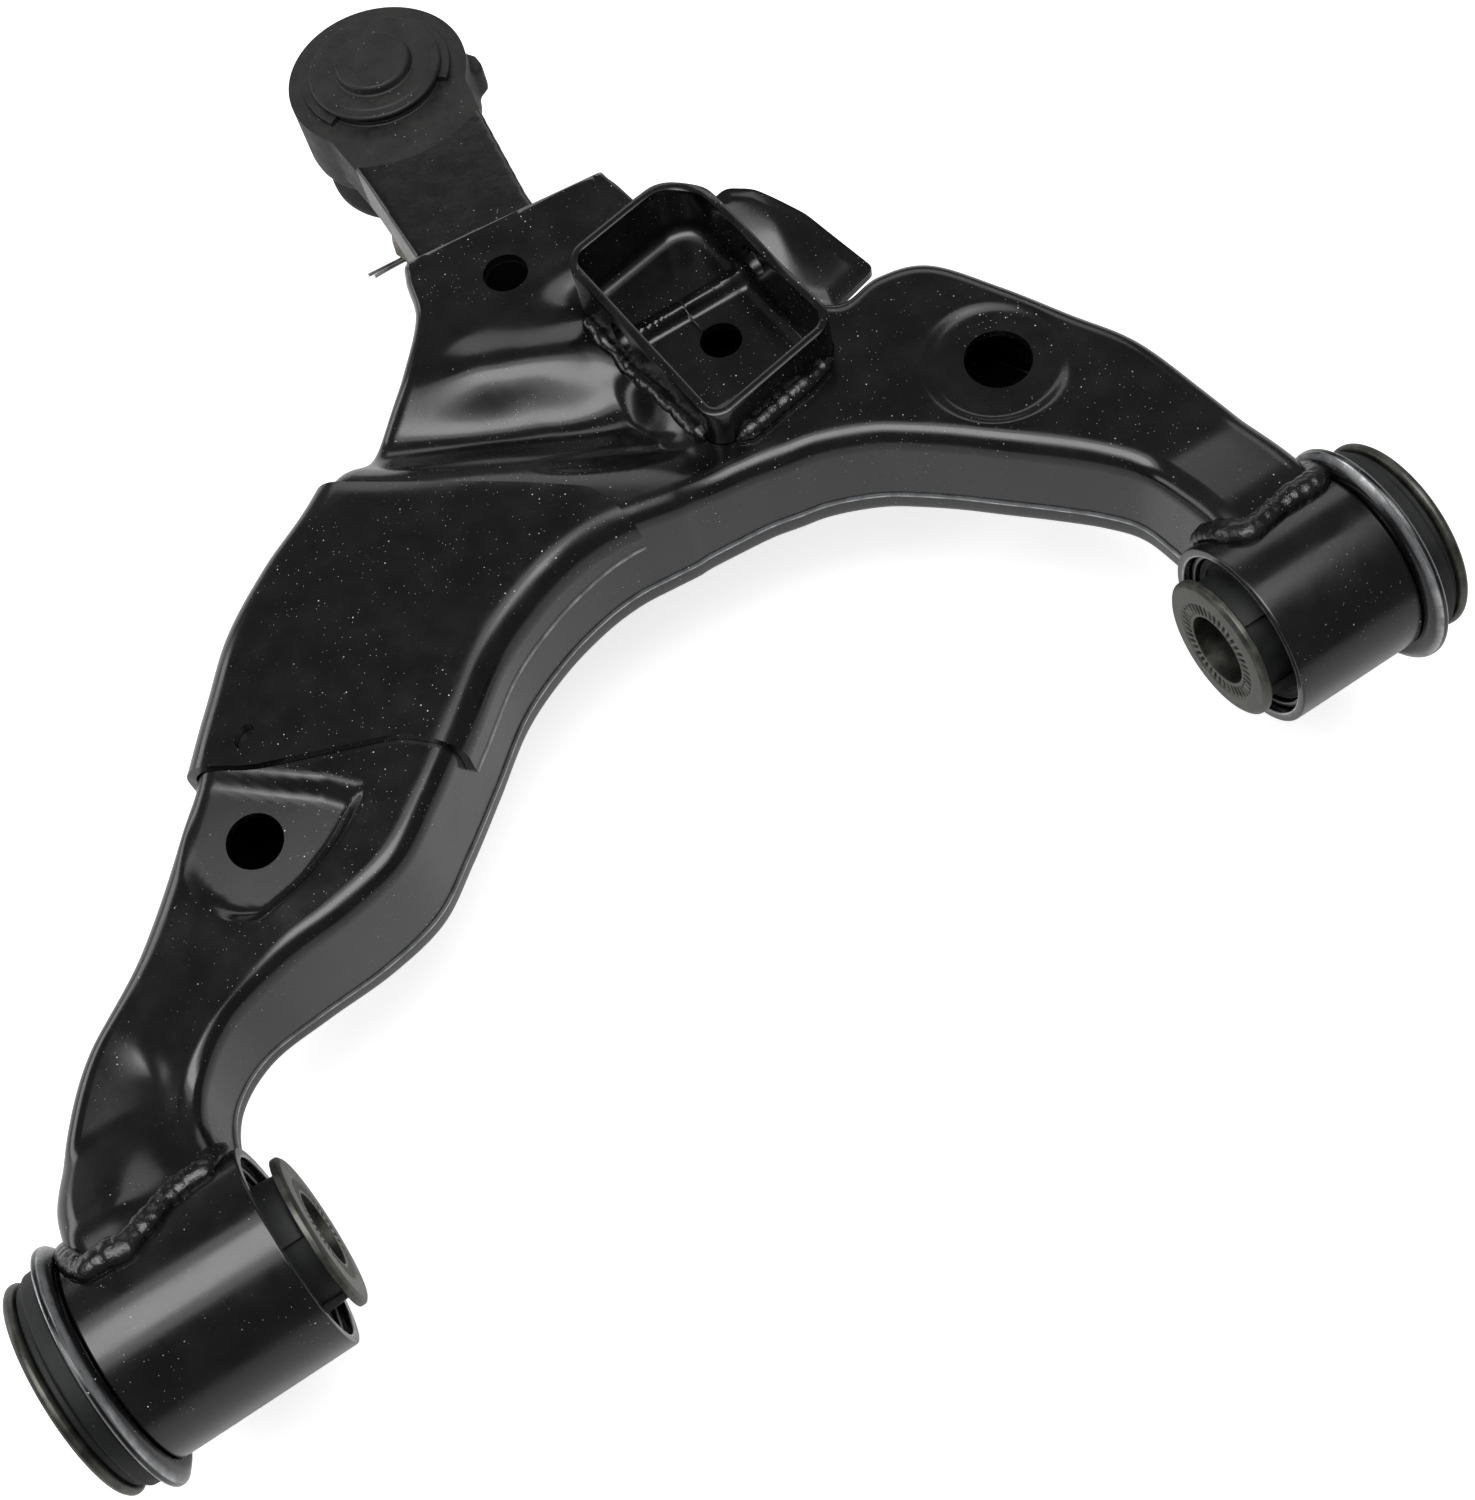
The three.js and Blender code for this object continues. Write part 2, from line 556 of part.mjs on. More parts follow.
function ballJoint() {
  const add = (name, manifold, finish) => addPiece(name, toBall(geometryOf(manifold)), finish);
  const addLeaned = (name, manifold, finish) => addPiece(name, toBall(leaned(geometryOf(manifold))), finish);
  const ringBottom = spotFaceZ + gap;
  const grooveTop = ringBottom + ringThick + gap;
  const flangeTop = forgedBottom - gap;
  const skirtBottom = flangeTop - 14;
  const wrap = THREE.MathUtils.degToRad(seatWrap);
  const seatFoot = ballZ - seatRadius * Math.cos(wrap) - 4.3;
  const seatTop = ballZ + ballRadius + 3.6;
  const mouthRadius = seatRadius * Math.sin(wrap) + 2.5;
  const lean = THREE.MathUtils.degToRad(tiltLimit);
  const skirtMouth = neckRadius / Math.cos(lean) + (ballZ - skirtBottom) * Math.tan(lean) + 2;
  const grooveRadius = bootGroove();
  const capTop = housingTop + capHeight;
  const flangeRadius = housingRadius + flangeLip;
  add('ball_housing', turned([
    [0, capTop], [capRadius - 0.8, capTop], [capRadius, capTop - 0.8],
    [capRadius, housingTop], [housingRadius - 0.7, housingTop], [housingRadius, housingTop - 0.7],
    [housingRadius, grooveTop], [housingRadius - 2, grooveTop], [housingRadius - 2, ringBottom - gap],
    [housingRadius, ringBottom - gap], [housingRadius, flangeTop], [flangeRadius, flangeTop],
    [flangeRadius, flangeTop - 4],
    [grooveRadius + 1.6, flangeTop - 5], [grooveRadius + 1.6, flangeTop - 7], [grooveRadius, flangeTop - 7.6],
    [grooveRadius, flangeTop - 11], [grooveRadius + 1.6, flangeTop - 11.6], [grooveRadius + 1.1, skirtBottom],
    [skirtMouth, skirtBottom], [mouthRadius + gap, seatFoot - gap - 0.4], [mouthRadius + gap, seatFoot - gap],
    [seatOuter + gap, seatFoot - gap], [seatOuter + gap, seatTop + 0.6], [0, seatTop + 0.6],
  ], bushFacets), 'forged');
  const c = new THREE.Shape();
  const open = 0.95;
  const facing = -1.75;
  c.absarc(0, 0, housingRadius + ringLip, facing + open, facing + 2 * Math.PI - open, false);
  c.absarc(0, 0, housingRadius - 2 + gap, facing + 2 * Math.PI - open, facing + open, true);
  const clip = new THREE.ExtrudeGeometry(c, { depth: ringThick, bevelEnabled: false, curveSegments: 24 });
  addPiece('snap_ring', toBall(geometryOf(solid(clip.translate(0, 0, ringBottom)))), 'forged');
  const socket = [];
  for (let k = 0; k <= ballRows; k++) {
    const polar = THREE.MathUtils.lerp(wrap, THREE.MathUtils.degToRad(158), k / ballRows);
    socket.push([seatRadius * Math.sin(polar), ballZ - seatRadius * Math.cos(polar)]);
  }
  add('ball_seat', turned([
    ...socket, [socket[ballRows][0], seatTop], [seatOuter, seatTop],
    [seatOuter, seatFoot], [mouthRadius, seatFoot],
  ]), 'polymer');
  const ball = [];
  const neckTurn = Math.asin(neckRadius / ballRadius);
  for (let k = 0; k <= ballRows; k++) {
    const polar = THREE.MathUtils.lerp(neckTurn, THREE.MathUtils.degToRad(150), k / ballRows);
    ball.push([ballRadius * Math.sin(polar), ballZ - ballRadius * Math.cos(polar)]);
  }
  const taperEnd = taperTop - taperLength;
  const stud = turned([
    [0, studEnd], [threadRadius - 1.2, studEnd], [threadRadius, studEnd + 1.2], [threadRadius, taperEnd - 2],
    [threadRadius + 0.1, taperEnd], [10.4, taperTop], [10.4, taperTop + 1], [neckRadius, taperTop + 3],
    ...ball, [0, ball[ballRows][1]],
  ]);
  const pinZ = nutTop - nutHeight + 3.5;
  const pinHole = solid(new THREE.CylinderGeometry(pinRadius + gap, pinRadius + gap, 40, 16)
    .rotateZ(Math.PI / 2).translate(0, 0, pinZ));
  addLeaned('ball_stud', stud.subtract(pinHole), 'steel');
  const hexagon = new THREE.Shape();
  const corner = nutFlats / Math.sqrt(3);
  for (let k = 0; k < 6; k++) {
    const turn = k * Math.PI / 3;
    hexagon.lineTo(corner * Math.cos(turn), corner * Math.sin(turn));
  }
  const nutFoot = nutTop - nutHeight;
  const crownFoot = nutFoot + 7;
  const crownRadius = nutFlats / 2 - 0.6;
  const nutBore = turned([
    [0, studEnd - 5], [threadRadius + gap, studEnd - 5], [threadRadius + gap, nutTop + 11], [0, nutTop + 11],
  ]);
  const crown = turned([
    [0, nutFoot], [crownRadius - 0.8, nutFoot], [crownRadius, nutFoot + 1],
    [crownRadius, crownFoot + 1], [0, crownFoot + 1],
  ]);
  let nut = solid(prism(hexagon, crownFoot, nutTop)).add(crown).subtract(nutBore);
  for (let k = 0; k < 3; k++) {
    const slotTop = pinZ + pinRadius + 2 * gap;
    const depth = slotTop - nutFoot + 1;
    const slot = new THREE.BoxGeometry(40, 2 * pinRadius + 1, depth).translate(0, 0, slotTop - depth / 2);
    nut = nut.subtract(solid(slot.rotateZ(k * Math.PI / 3)));
  }
  addLeaned('castle_nut', nut, 'plated');
  const leg = new THREE.CapsuleGeometry(pinRadius, 42, 3, 10).rotateZ(Math.PI / 2).translate(-8, 0, pinZ);
  const head = new THREE.TorusGeometry(2.6, pinRadius * 0.8, 6, 12).translate(nutFlats / 2 + 4.2, 0, pinZ);
  addLeaned('cotter_pin', solid(leg).add(solid(head)), 'steel');
  boot(add, addLeaned, flangeTop, grooveRadius);
}

const bootGroove = () => housingRadius - 2.3;

function boot(add, addLeaned, flangeTop, groove) {
  const seatZ = flangeTop - 9.3;
  const bulge = groove + bootBulge;
  const lip = { radius: 10.4 + gap, z: taperTop + 0.5 };
  const outline = [
    [groove + gap, seatZ + 1.4], [groove + gap, seatZ - 1.4], [groove + 2, seatZ - 2.4],
    [bulge - bootSheet, seatZ - 6], [bulge - 4, seatZ - 11], [18, seatZ - 14],
    [lip.radius, lip.z - 4.5], [lip.radius, lip.z - 8], [lip.radius + 2.4, lip.z - 8],
    [lip.radius + 1.9, lip.z - 5], [19.5, seatZ - 15.8], [bulge - 2, seatZ - 12.3],
    [bulge, seatZ - 6], [groove + 3.6, seatZ - 1.4], [groove + 2.7, seatZ], [groove + 2.3, seatZ + 1.4],
  ];
  const shareAt = z => smooth(4 - seatZ, 1 - lip.z, -z);
  addPiece('boot', toBall(leaned(geometryOf(turned(outline)), shareAt)), 'rubber');
  const wire = (radius, thick, z) => {
    return new THREE.TorusGeometry(radius, thick, 5, roundFacets).translate(0, 0, z);
  };
  add('boot_ring_large', solid(wire(groove + 4.2, 0.9, seatZ + 1.2)), 'steel');
  addLeaned('boot_ring_small', solid(wire(lip.radius + 3.3, 0.8, lip.z - 6.6)), 'steel');
}

// ---- weld beads ----
function bead(points, radius) {
  const path = new THREE.CatmullRomCurve3(points.map(p => new THREE.Vector3(...p)));
  const section = new THREE.Shape().absarc(0, 0, radius, 0, 2 * Math.PI);
  const steps = points.length * 2;
  return solid(new THREE.ExtrudeGeometry(section, { extrudePath: path, steps, curveSegments: 4 }));
}

function welds() {
  const shell = armBlock(-2 * gap, seamZ - 3);
  const tubes = tubeZone(gap);
  for (const [name, inner, outer] of [['left', -186, -240], ['right', 191, 234]]) {
    const sign = Math.sign(inner);
    const rim = tubeRadius(name) + 2.5;
    const width = outer - inner;
    const crest = x => Math.asin(Math.min((topHeight(at(x, 30)) + 4.5) / rim, 0.97));
    const points = [
      [inner - sign * 2, 0.16], [inner - sign, 0.65], [inner + sign * 7, 0.97], [inner + 0.35 * width, 1],
      [inner + 0.65 * width, 1], [outer - sign * 7, 0.97], [outer + sign, 0.65], [outer + sign * 2, 0.16],
    ].map(([x, share]) => {
      const angle = crest(x) * share;
      return [x * spanScale, rim * Math.cos(angle), rim * Math.sin(angle)];
    });
    const weld = bead(points, eyeWeldRadius).subtract(shell).subtract(tubes);
    addPiece(`${name}_eye_weld`, geometryOf(weld), 'paint');
  }
  const crestAt = x => {
    const edge = mouthEdge(x, -gap - 1);
    return [edge.x, edge.y, strapTop + gap + 0.8];
  };
  const strapGrown = solid(prism(strapOutline(), strapBottom - gap, strapTop + gap));
  const weld = bead([crestAt(36), crestAt(56), crestAt(77)], noseWeldRadius)
    .subtract(strapGrown)
    .subtract(shell.subtract(beyondMouth(-gap)));
  addPiece('nose_weld', geometryOf(weld), 'paint');
}

shells();
strikePlate();
shockBracket();
sideGusset();
noseForging();
ballJoint();
bush('left');
bush('right');
welds();

// the row's origin is the middle of the lowest face of the whole arm's box
const box = new THREE.Box3().setFromObject(group);
const middle = box.getCenter(new THREE.Vector3());
group.position.set(-middle.x, -middle.y, -box.min.z);

export default group;
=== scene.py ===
import math
import bpy
import bmesh
import numpy as np
from mathutils import Matrix, Vector


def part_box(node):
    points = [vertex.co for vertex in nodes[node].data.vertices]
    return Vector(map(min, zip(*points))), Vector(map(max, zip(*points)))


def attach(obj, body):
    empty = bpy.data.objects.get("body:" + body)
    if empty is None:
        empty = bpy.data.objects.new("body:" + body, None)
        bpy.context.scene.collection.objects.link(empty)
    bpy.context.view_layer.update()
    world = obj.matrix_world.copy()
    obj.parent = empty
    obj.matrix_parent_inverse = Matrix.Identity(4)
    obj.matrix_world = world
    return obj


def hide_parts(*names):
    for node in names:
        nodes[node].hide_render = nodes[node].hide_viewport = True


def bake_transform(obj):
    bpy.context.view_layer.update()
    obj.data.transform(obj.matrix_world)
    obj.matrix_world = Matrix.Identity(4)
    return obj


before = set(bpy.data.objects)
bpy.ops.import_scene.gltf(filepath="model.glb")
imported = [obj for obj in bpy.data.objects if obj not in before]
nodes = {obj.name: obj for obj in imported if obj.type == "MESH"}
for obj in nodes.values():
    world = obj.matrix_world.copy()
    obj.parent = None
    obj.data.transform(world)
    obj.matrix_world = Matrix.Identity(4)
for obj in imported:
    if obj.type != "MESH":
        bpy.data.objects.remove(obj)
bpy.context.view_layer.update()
scene = bpy.context.scene
print("frame loaded,", len(nodes), "nodes")

# All shapes are worked out in millimetres from the middle of the bush axis:
# X along the axis, Y out to the ball joint, Z up. This is where that point lies in the row frame.
leftLow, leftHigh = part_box("left_eye_tube")
rightLow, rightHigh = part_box("right_eye_tube")
axisMiddle = np.array([
    (leftHigh.x + rightLow.x) / 2, (leftLow.y + leftHigh.y) / 2, (leftLow.z + leftHigh.z) / 2,
])


def framePoint(place):
    # from millimetres off the bush axis to the frame's metres
    return Vector((np.asarray(place, float) / 1000 + axisMiddle).tolist())


camera = {
    "azimuth": -19.158, "elevation": 63.316, "roll": -15.228,   # degrees
    "distance": 724.89, "aside": -1.586, "above": 41.892,       # mm, seen from the camera
    "lens": 53.548, "shiftX": -0.0291, "shiftY": 0.0334,
}


def cameraAxes():
    # right, up and back of a level camera at that azimuth and elevation,
    # then turned about its own line of sight
    a, e, r = (math.radians(camera[k]) for k in ("azimuth", "elevation", "roll"))
    back = np.array([math.sin(a) * math.cos(e), -math.cos(a) * math.cos(e), math.sin(e)])
    right = np.array([math.cos(a), math.sin(a), 0.0])
    up = np.cross(back, right)
    return right * math.cos(r) + up * math.sin(r), -right * math.sin(r) + up * math.cos(r), back


def placeCamera():
    right, up, back = cameraAxes()
    place = right * camera["aside"] + up * camera["above"] + back * camera["distance"]
    data = bpy.data.cameras.new("productCamera")
    data.sensor_width = 36
    data.lens = camera["lens"]
    data.shift_x, data.shift_y = camera["shiftX"], camera["shiftY"]
    made = bpy.data.objects.new("productCamera", data)
    turn = Matrix(np.array([right, up, back]).T.tolist()).to_4x4()
    made.matrix_world = Matrix.Translation(framePoint(place)) @ turn
    scene.collection.objects.link(made)
    scene.camera = made


lights = {
    # name: azimuth and elevation in degrees, distance in m, size in m, watts
    "overheadSoftbox": (-19, 80, 1.35, (1.7, 1.25), 14),
    "softboxHeart": (-19, 78, 1.33, (1.35, 0.62), 12),   # the box is hotter in its middle
    "farSideFill": (150, 28, 1.8, (1.6, 0.6), 4),
    "leftSideFill": (-128, 14, 1.7, (1.7, 0.6), 9),
}


def placeLights():
    for name, (azimuth, elevation, distance, size, power) in lights.items():
        a, e = math.radians(azimuth), math.radians(elevation)
        away = Vector((math.sin(a) * math.cos(e), -math.cos(a) * math.cos(e), math.sin(e)))
        data = bpy.data.lights.new(name, "AREA")
        data.shape = "RECTANGLE"
        data.size, data.size_y = size
        data.energy = power
        made = bpy.data.objects.new(name, data)
        made.location = away * distance + Vector((0, 0, 0.1))
        made.rotation_mode = "QUATERNION"
        made.rotation_quaternion = away.to_track_quat("Z", "Y")
        scene.collection.objects.link(made)


def hexColour(code):
    # sRGB hex to linear, channel by channel
    value = np.array([int(code[k:k + 2], 16) for k in (1, 3, 5)]) / 255
    linear = np.where(value <= 0.04045, value / 12.92, ((value + 0.055) / 1.055) ** 2.4)
    return (*linear.tolist(), 1.0)


def addNode(tree, kind, settings=None, inputs=None):
    # one node with its settings, its fixed inputs and its links (a link is given as the other node's output)
    made = tree.nodes.new(kind)
    for key, value in (settings or {}).items():
        setattr(made, key, value)
    for key, value in (inputs or {}).items():
        if isinstance(value, bpy.types.NodeSocket):
            tree.links.new(value, made.inputs[key])
        else:
            made.inputs[key].default_value = value
    return made


def newMaterial(name):
    material = bpy.data.materials.new(name)
    material.use_nodes = True
    tree = material.node_tree
    tree.nodes.clear()
    return material, tree, addNode(tree, "ShaderNodeTexCoord").outputs["Object"]


def noise(tree, place, size, detail=3.0, rough=0.55):
    # cloudy pattern whose lumps are `size` millimetres across
    inputs = {"Vector": place, "Scale": 1000 / size, "Detail": detail, "Roughness": rough}
    return addNode(tree, "ShaderNodeTexNoise", {}, inputs).outputs["Fac"]


def remap(tree, value, low, high, toLow, toHigh):
    # a straight slope from toLow at low to toHigh at high, held level beyond them
    inputs = {"Value": value, "From Min": low, "From Max": high, "To Min": toLow, "To Max": toHigh}
    return addNode(tree, "ShaderNodeMapRange", {"clamp": True}, inputs).outputs["Result"]


def mixColour(tree, share, first, second):
    # the first colour where the share is 0, the second where it is 1 (inputs 6 and 7 are the node's colours)
    return addNode(tree, "ShaderNodeMix", {"data_type": "RGBA"}, {0: share, 6: first, 7: second}).outputs[2]


def cloudyColour(tree, cloud, low, high, dark, light):
    # dark where the cloud is below low, light where it is above high
    return mixColour(tree, remap(tree, cloud, low, high, 0, 1), hexColour(dark), hexColour(light))


def calculate(tree, operation, first, second=0.0):
    return addNode(tree, "ShaderNodeMath", {"operation": operation}, {0: first, 1: second}).outputs[0]


def bump(tree, height, depth, below=None):
    # raises the surface by `depth` millimetres where the height is 1
    inputs = {"Height": height, "Strength": 1.0, "Distance": depth / 1000}
    if below is not None:
        inputs["Normal"] = below
    return addNode(tree, "ShaderNodeBump", {}, inputs).outputs["Normal"]


def fromAxis(tree, place, middle, flat):
    # the place seen from `middle`, and its distance from the axis there (`flat` is 0 along that axis)
    centred = addNode(tree, "ShaderNodeVectorMath", {"operation": "SUBTRACT"},
                      {0: place, 1: framePoint(middle)}).outputs[0]
    across = addNode(tree, "ShaderNodeVectorMath", {"operation": "MULTIPLY"},
                     {0: centred, 1: flat}).outputs[0]
    return centred, addNode(tree, "ShaderNodeVectorMath", {"operation": "LENGTH"},
                            {0: across}).outputs["Value"]


def closeMaterial(tree, inputs):
    shader = addNode(tree, "ShaderNodeBsdfPrincipled", {}, inputs)
    addNode(tree, "ShaderNodeOutputMaterial", {}, {"Surface": shader.outputs["BSDF"]})


def dustSpecks(tree, place, spacing, radius, share):
    # white points `radius` mm in radius, about `spacing` mm apart, gathered in drifts; 1 on a speck
    cells = addNode(tree, "ShaderNodeTexVoronoi", {"feature": "F1"},
                    {"Vector": place, "Scale": 1000 / spacing})
    point = remap(tree, cells.outputs["Distance"], 0.6 * radius / spacing, radius / spacing, 1, 0)
    pick = addNode(tree, "ShaderNodeSeparateColor", {}, {"Color": cells.outputs["Color"]})
    kept = calculate(tree, "GREATER_THAN", pick.outputs[0], 1 - share)
    drift = remap(tree, noise(tree, place, 38, 2.0), 0.42, 0.6, 0, 1)
    return calculate(tree, "MULTIPLY", calculate(tree, "MULTIPLY", point, kept), drift)


# `bare` is a bare-steel colour painted along edges as a highlight line
ecoat = {
    "black": "#080809", "worn": "#101010", "dust": "#c2c4c2", "bare": "#a9abad", "rough": (0.15, 0.25),
    "cloudSize": 17, "peelSize": 1.9, "peelDepth": 0.010, "waveSize": 26, "waveDepth": 0.10, "chipSize": 5,
    "specks": (3.1, 0.28, 0.4), "fineSpecks": (1.5, 0.17, 0.6),   # spacing, radius, share
}


def ecoatSteel(name="blackElectrocoatOnPressedSteel", lumpSize=0, lumpDepth=0, specks=1.0, roughAdd=0.0):
    # Cathodic electrocoat dipped over pressed steel: near black, glossy with a fine orange peel,
    # slow waves of the sheet under it, and pale dust lying in drifts.
    material, tree, place = newMaterial(name)
    cloud = noise(tree, place, ecoat["cloudSize"], 4.0)
    speck, fineSpeck = (dustSpecks(tree, place, spacing, radius, share * specks)
                        for spacing, radius, share in (ecoat["specks"], ecoat["fineSpecks"]))
    dust = calculate(tree, "MAXIMUM", speck, calculate(tree, "MULTIPLY", fineSpeck, 0.6))
    base = cloudyColour(tree, cloud, 0.4, 0.7, ecoat["black"], ecoat["worn"])
    # the bare-steel colour painted along edges as a highlight line is broken up into chips
    edgeHighlight = addNode(tree, "ShaderNodeAttribute", {"attribute_name": "paintedEdgeHighlight"}).outputs["Fac"]
    chips = remap(tree, noise(tree, place, ecoat["chipSize"], 3.0), 0.38, 0.6, 0.5, 1)
    # `worn` is the share of painted edge highlight at each point; it also makes the surface metallic there
    worn = calculate(tree, "MULTIPLY", edgeHighlight, chips)
    colour = mixColour(tree, worn, mixColour(tree, dust, base, hexColour(ecoat["dust"])),
                       hexColour(ecoat["bare"]))
    film = remap(tree, cloud, 0.3, 0.7, *(k + roughAdd for k in ecoat["rough"]))
    rough = calculate(tree, "ADD", film, calculate(tree, "MULTIPLY", dust, 0.4))
    normal = bump(tree, noise(tree, place, ecoat["waveSize"], 1.0), ecoat["waveDepth"])
    normal = bump(tree, noise(tree, place, ecoat["peelSize"], 2.0), ecoat["peelDepth"], normal)
    if lumpSize:
        normal = bump(tree, noise(tree, place, lumpSize, 3.0, 0.6), lumpDepth, normal)
    closeMaterial(tree,
                  {"Base Color": colour, "Roughness": rough, "Metallic": worn, "Normal": normal, "IOR": 1.5})
    return material


forgedFinish = {
    "dark": "#161716", "light": "#262825", "dipped": "#0a0a0b", "dust": "#a5a7a2",
    "specks": (2.6, 0.27, 0.55),
    "mottleSize": 9, "scaleSize": 2.6, "scaleDepth": 0.06, "grainSize": 0.7, "grainDepth": 0.03,
    "rough": (0.46, 0.66), "dippedRough": (0.2, 0.32), "metallic": 0.3, "border": 0.2,
}


def phosphatedForging():
    # Drop-forged steel shot-blasted and phosphated: matte dark grey, mottled, with a gritty skin.
    # The strap beyond the machined seat round the joint was dipped with the shells and is glossy.
    material, tree, place = newMaterial("phosphatedForging")
    mottle = noise(tree, place, forgedFinish["mottleSize"], 5.0, 0.6)
    dust = dustSpecks(tree, place, *forgedFinish["specks"])
    dustColour = hexColour(forgedFinish["dust"])
    bare = cloudyColour(tree, mottle, 0.35, 0.7, forgedFinish["dark"], forgedFinish["light"])
    _, radius = fromAxis(tree, place, (ball["x"], ball["y"], 0), (1.0, 1.0, 0.0))
    seat, border = ball["spotRadius"], forgedFinish["border"]
    dipped = remap(tree, radius, (seat - border) / 1000, (seat + border) / 1000, 0, 1)
    colour = mixColour(tree, dipped, mixColour(tree, dust, bare, dustColour),
                       mixColour(tree, dust, hexColour(forgedFinish["dipped"]), dustColour))
    matte, gloss = (remap(tree, mottle, 0.3, 0.7, *forgedFinish[k]) for k in ("rough", "dippedRough"))
    rough = addNode(tree, "ShaderNodeMix", {"data_type": "FLOAT"}, {0: dipped, 2: matte, 3: gloss}).outputs[0]
    metallic = remap(tree, dipped, 0, 1, forgedFinish["metallic"], 0)
    normal = bump(tree, noise(tree, place, forgedFinish["scaleSize"], 3.0), forgedFinish["scaleDepth"])
    normal = bump(tree, noise(tree, place, forgedFinish["grainSize"], 2.0), forgedFinish["grainDepth"],
                  normal)
    closeMaterial(tree, {"Base Color": colour, "Roughness": rough, "Metallic": metallic, "Normal": normal})
    return material


turnedFinish = {
    # name: dark, light, ring pitch in mm, ring depth in mm, roughness, metallic
    "turnedOxidisedSteel": ("#3a3b37", "#5d5e57", 0.55, 0.006, (0.34, 0.5), 0.85),
    "groundStudSteel": ("#8b8d8f", "#b3b5b6", 0.45, 0.004, (0.2, 0.34), 1.0),
    "dullZincPlate": ("#6f6c60", "#9b988b", 0.9, 0.004, (0.38, 0.55), 0.95),
}


def turnedSteel(name, middle, along):
    # Steel turned on a lathe: fine rings round the axis, with a thin film that varies in cloudy patches.
    # The rings follow the distance from the axis plus the distance along it.
    dark, light, pitch, depth, rough, metallic = turnedFinish[name.split(".")[0]]
    material, tree, place = newMaterial(name)
    centred, radius = fromAxis(tree, place, middle, tuple(0.0 if k == along else 1.0 for k in range(3)))
    track = calculate(tree, "ADD", radius,
                      addNode(tree, "ShaderNodeSeparateXYZ", {}, {0: centred}).outputs[along])
    rings = addNode(tree, "ShaderNodeTexNoise", {"noise_dimensions": "1D"},
                    {"W": track, "Scale": 1000 / pitch, "Detail": 2.0}).outputs["Fac"]
    cloud = noise(tree, place, 7, 4.0)
    closeMaterial(tree,
                  {"Base Color": cloudyColour(tree, cloud, 0.35, 0.68, dark, light), "Metallic": metallic,
                         "Roughness": remap(tree, cloud, 0.3, 0.7, *rough),
                         "Normal": bump(tree, rings, depth)})
    return material


rubberFinish = {
    "dark": "#121313", "bloom": "#1f2020", "dust": "#9a9c99", "specks": (5.5, 0.4, 0.3), "cloudSize": 13,
    "grainSize": 0.9, "grainDepth": 0.02, "rough": (0.5, 0.72),
}


def mouldedRubber():
    # Moulded natural rubber: deep grey, matte, with a faint waxy bloom and mould grain.
    material, tree, place = newMaterial("mouldedNaturalRubber")
    cloud = noise(tree, place, rubberFinish["cloudSize"], 4.0)
    base = cloudyColour(tree, cloud, 0.4, 0.7, rubberFinish["dark"], rubberFinish["bloom"])
    dust = dustSpecks(tree, place, *rubberFinish["specks"])
    grain = noise(tree, place, rubberFinish["grainSize"], 2.0)
    closeMaterial(tree, {"Base Color": mixColour(tree, dust, base, hexColour(rubberFinish["dust"])),
                         "Roughness": remap(tree, cloud, 0.3, 0.7, *rubberFinish["rough"]),
                         "Normal": bump(tree, grain, rubberFinish["grainDepth"]), "IOR": 1.5,
                         "Specular IOR Level": 0.3})
    return material


def acetalSeat():
    # Moulded acetal ball seat: waxy off-white with a soft sheen.
    material, tree, place = newMaterial("mouldedAcetal")
    cloud = noise(tree, place, 6, 3.0)
    closeMaterial(tree,
                  {"Base Color": cloudyColour(tree, cloud, 0.35, 0.7, "#dcd8ca", "#cbc6b4"), "IOR": 1.48,
                         "Roughness": remap(tree, cloud, 0.3, 0.7, 0.35, 0.5),
                         "Normal": bump(tree, noise(tree, place, 1.2), 0.01)})
    return material


floor = {"reach": 6, "points": 13, "below": 0.0015, "glow": 0.68}   # metres, and the glow's strength


def paleFloor():
    material, tree, place = newMaterial("paleStudioTable")
    colour = mixColour(tree, noise(tree, place, 90, 2.0), hexColour("#d9d9d8"), hexColour("#e1e1e0"))
    # the table glows from below where it is looked at, so that it stays white under the shadows
    seen = addNode(tree, "ShaderNodeLightPath").outputs["Is Camera Ray"]
    closeMaterial(tree, {"Base Color": colour, "Roughness": 0.9, "Emission Color": hexColour("#ffffff"),
                         "Emission Strength": remap(tree, seen, 0, 1, 0, floor["glow"])})
    return material


def makeStudio():
    placeCamera()
    placeLights()
    count = floor["points"]
    edge = np.linspace(-floor["reach"], floor["reach"], count)
    x, y = np.meshgrid(edge, edge, indexing="ij")
    grid = np.stack([x, y, np.full_like(x, -floor["below"])], -1)
    mesh = bpy.data.meshes.new("studioTable")
    mesh.from_pydata(grid.reshape(-1, 3).tolist(), [], gridFaces(count, count, False, False).tolist())
    mesh.materials.append(paleFloor())
    table = bpy.data.objects.new("studioTable", mesh)
    scene.collection.objects.link(table)
    # the room is dim where it is mirrored in the paint, and pale where it is looked at
    world = bpy.data.worlds.new("studioRoom")
    world.use_nodes = True
    world.node_tree.nodes.clear()
    seen = addNode(world.node_tree, "ShaderNodeLightPath").outputs["Is Camera Ray"]
    colour = mixColour(world.node_tree, seen, (0.16, 0.16, 0.165, 1), (0.92, 0.92, 0.92, 1))
    back = addNode(world.node_tree, "ShaderNodeBackground", {}, {"Color": colour})
    addNode(world.node_tree, "ShaderNodeOutputWorld", {}, {"Surface": back.outputs[0]})
    scene.world = world
    scene.view_settings.view_transform = "Standard"


# every shape below is a grid of points in millimetres
def smooth(low, high, value):
    # 0 below low, 1 above high, and 3t^2 - 2t^3 between
    t = np.clip((np.asarray(value, float) - low) / (high - low), 0, 1)
    return t * t * (3 - 2 * t)


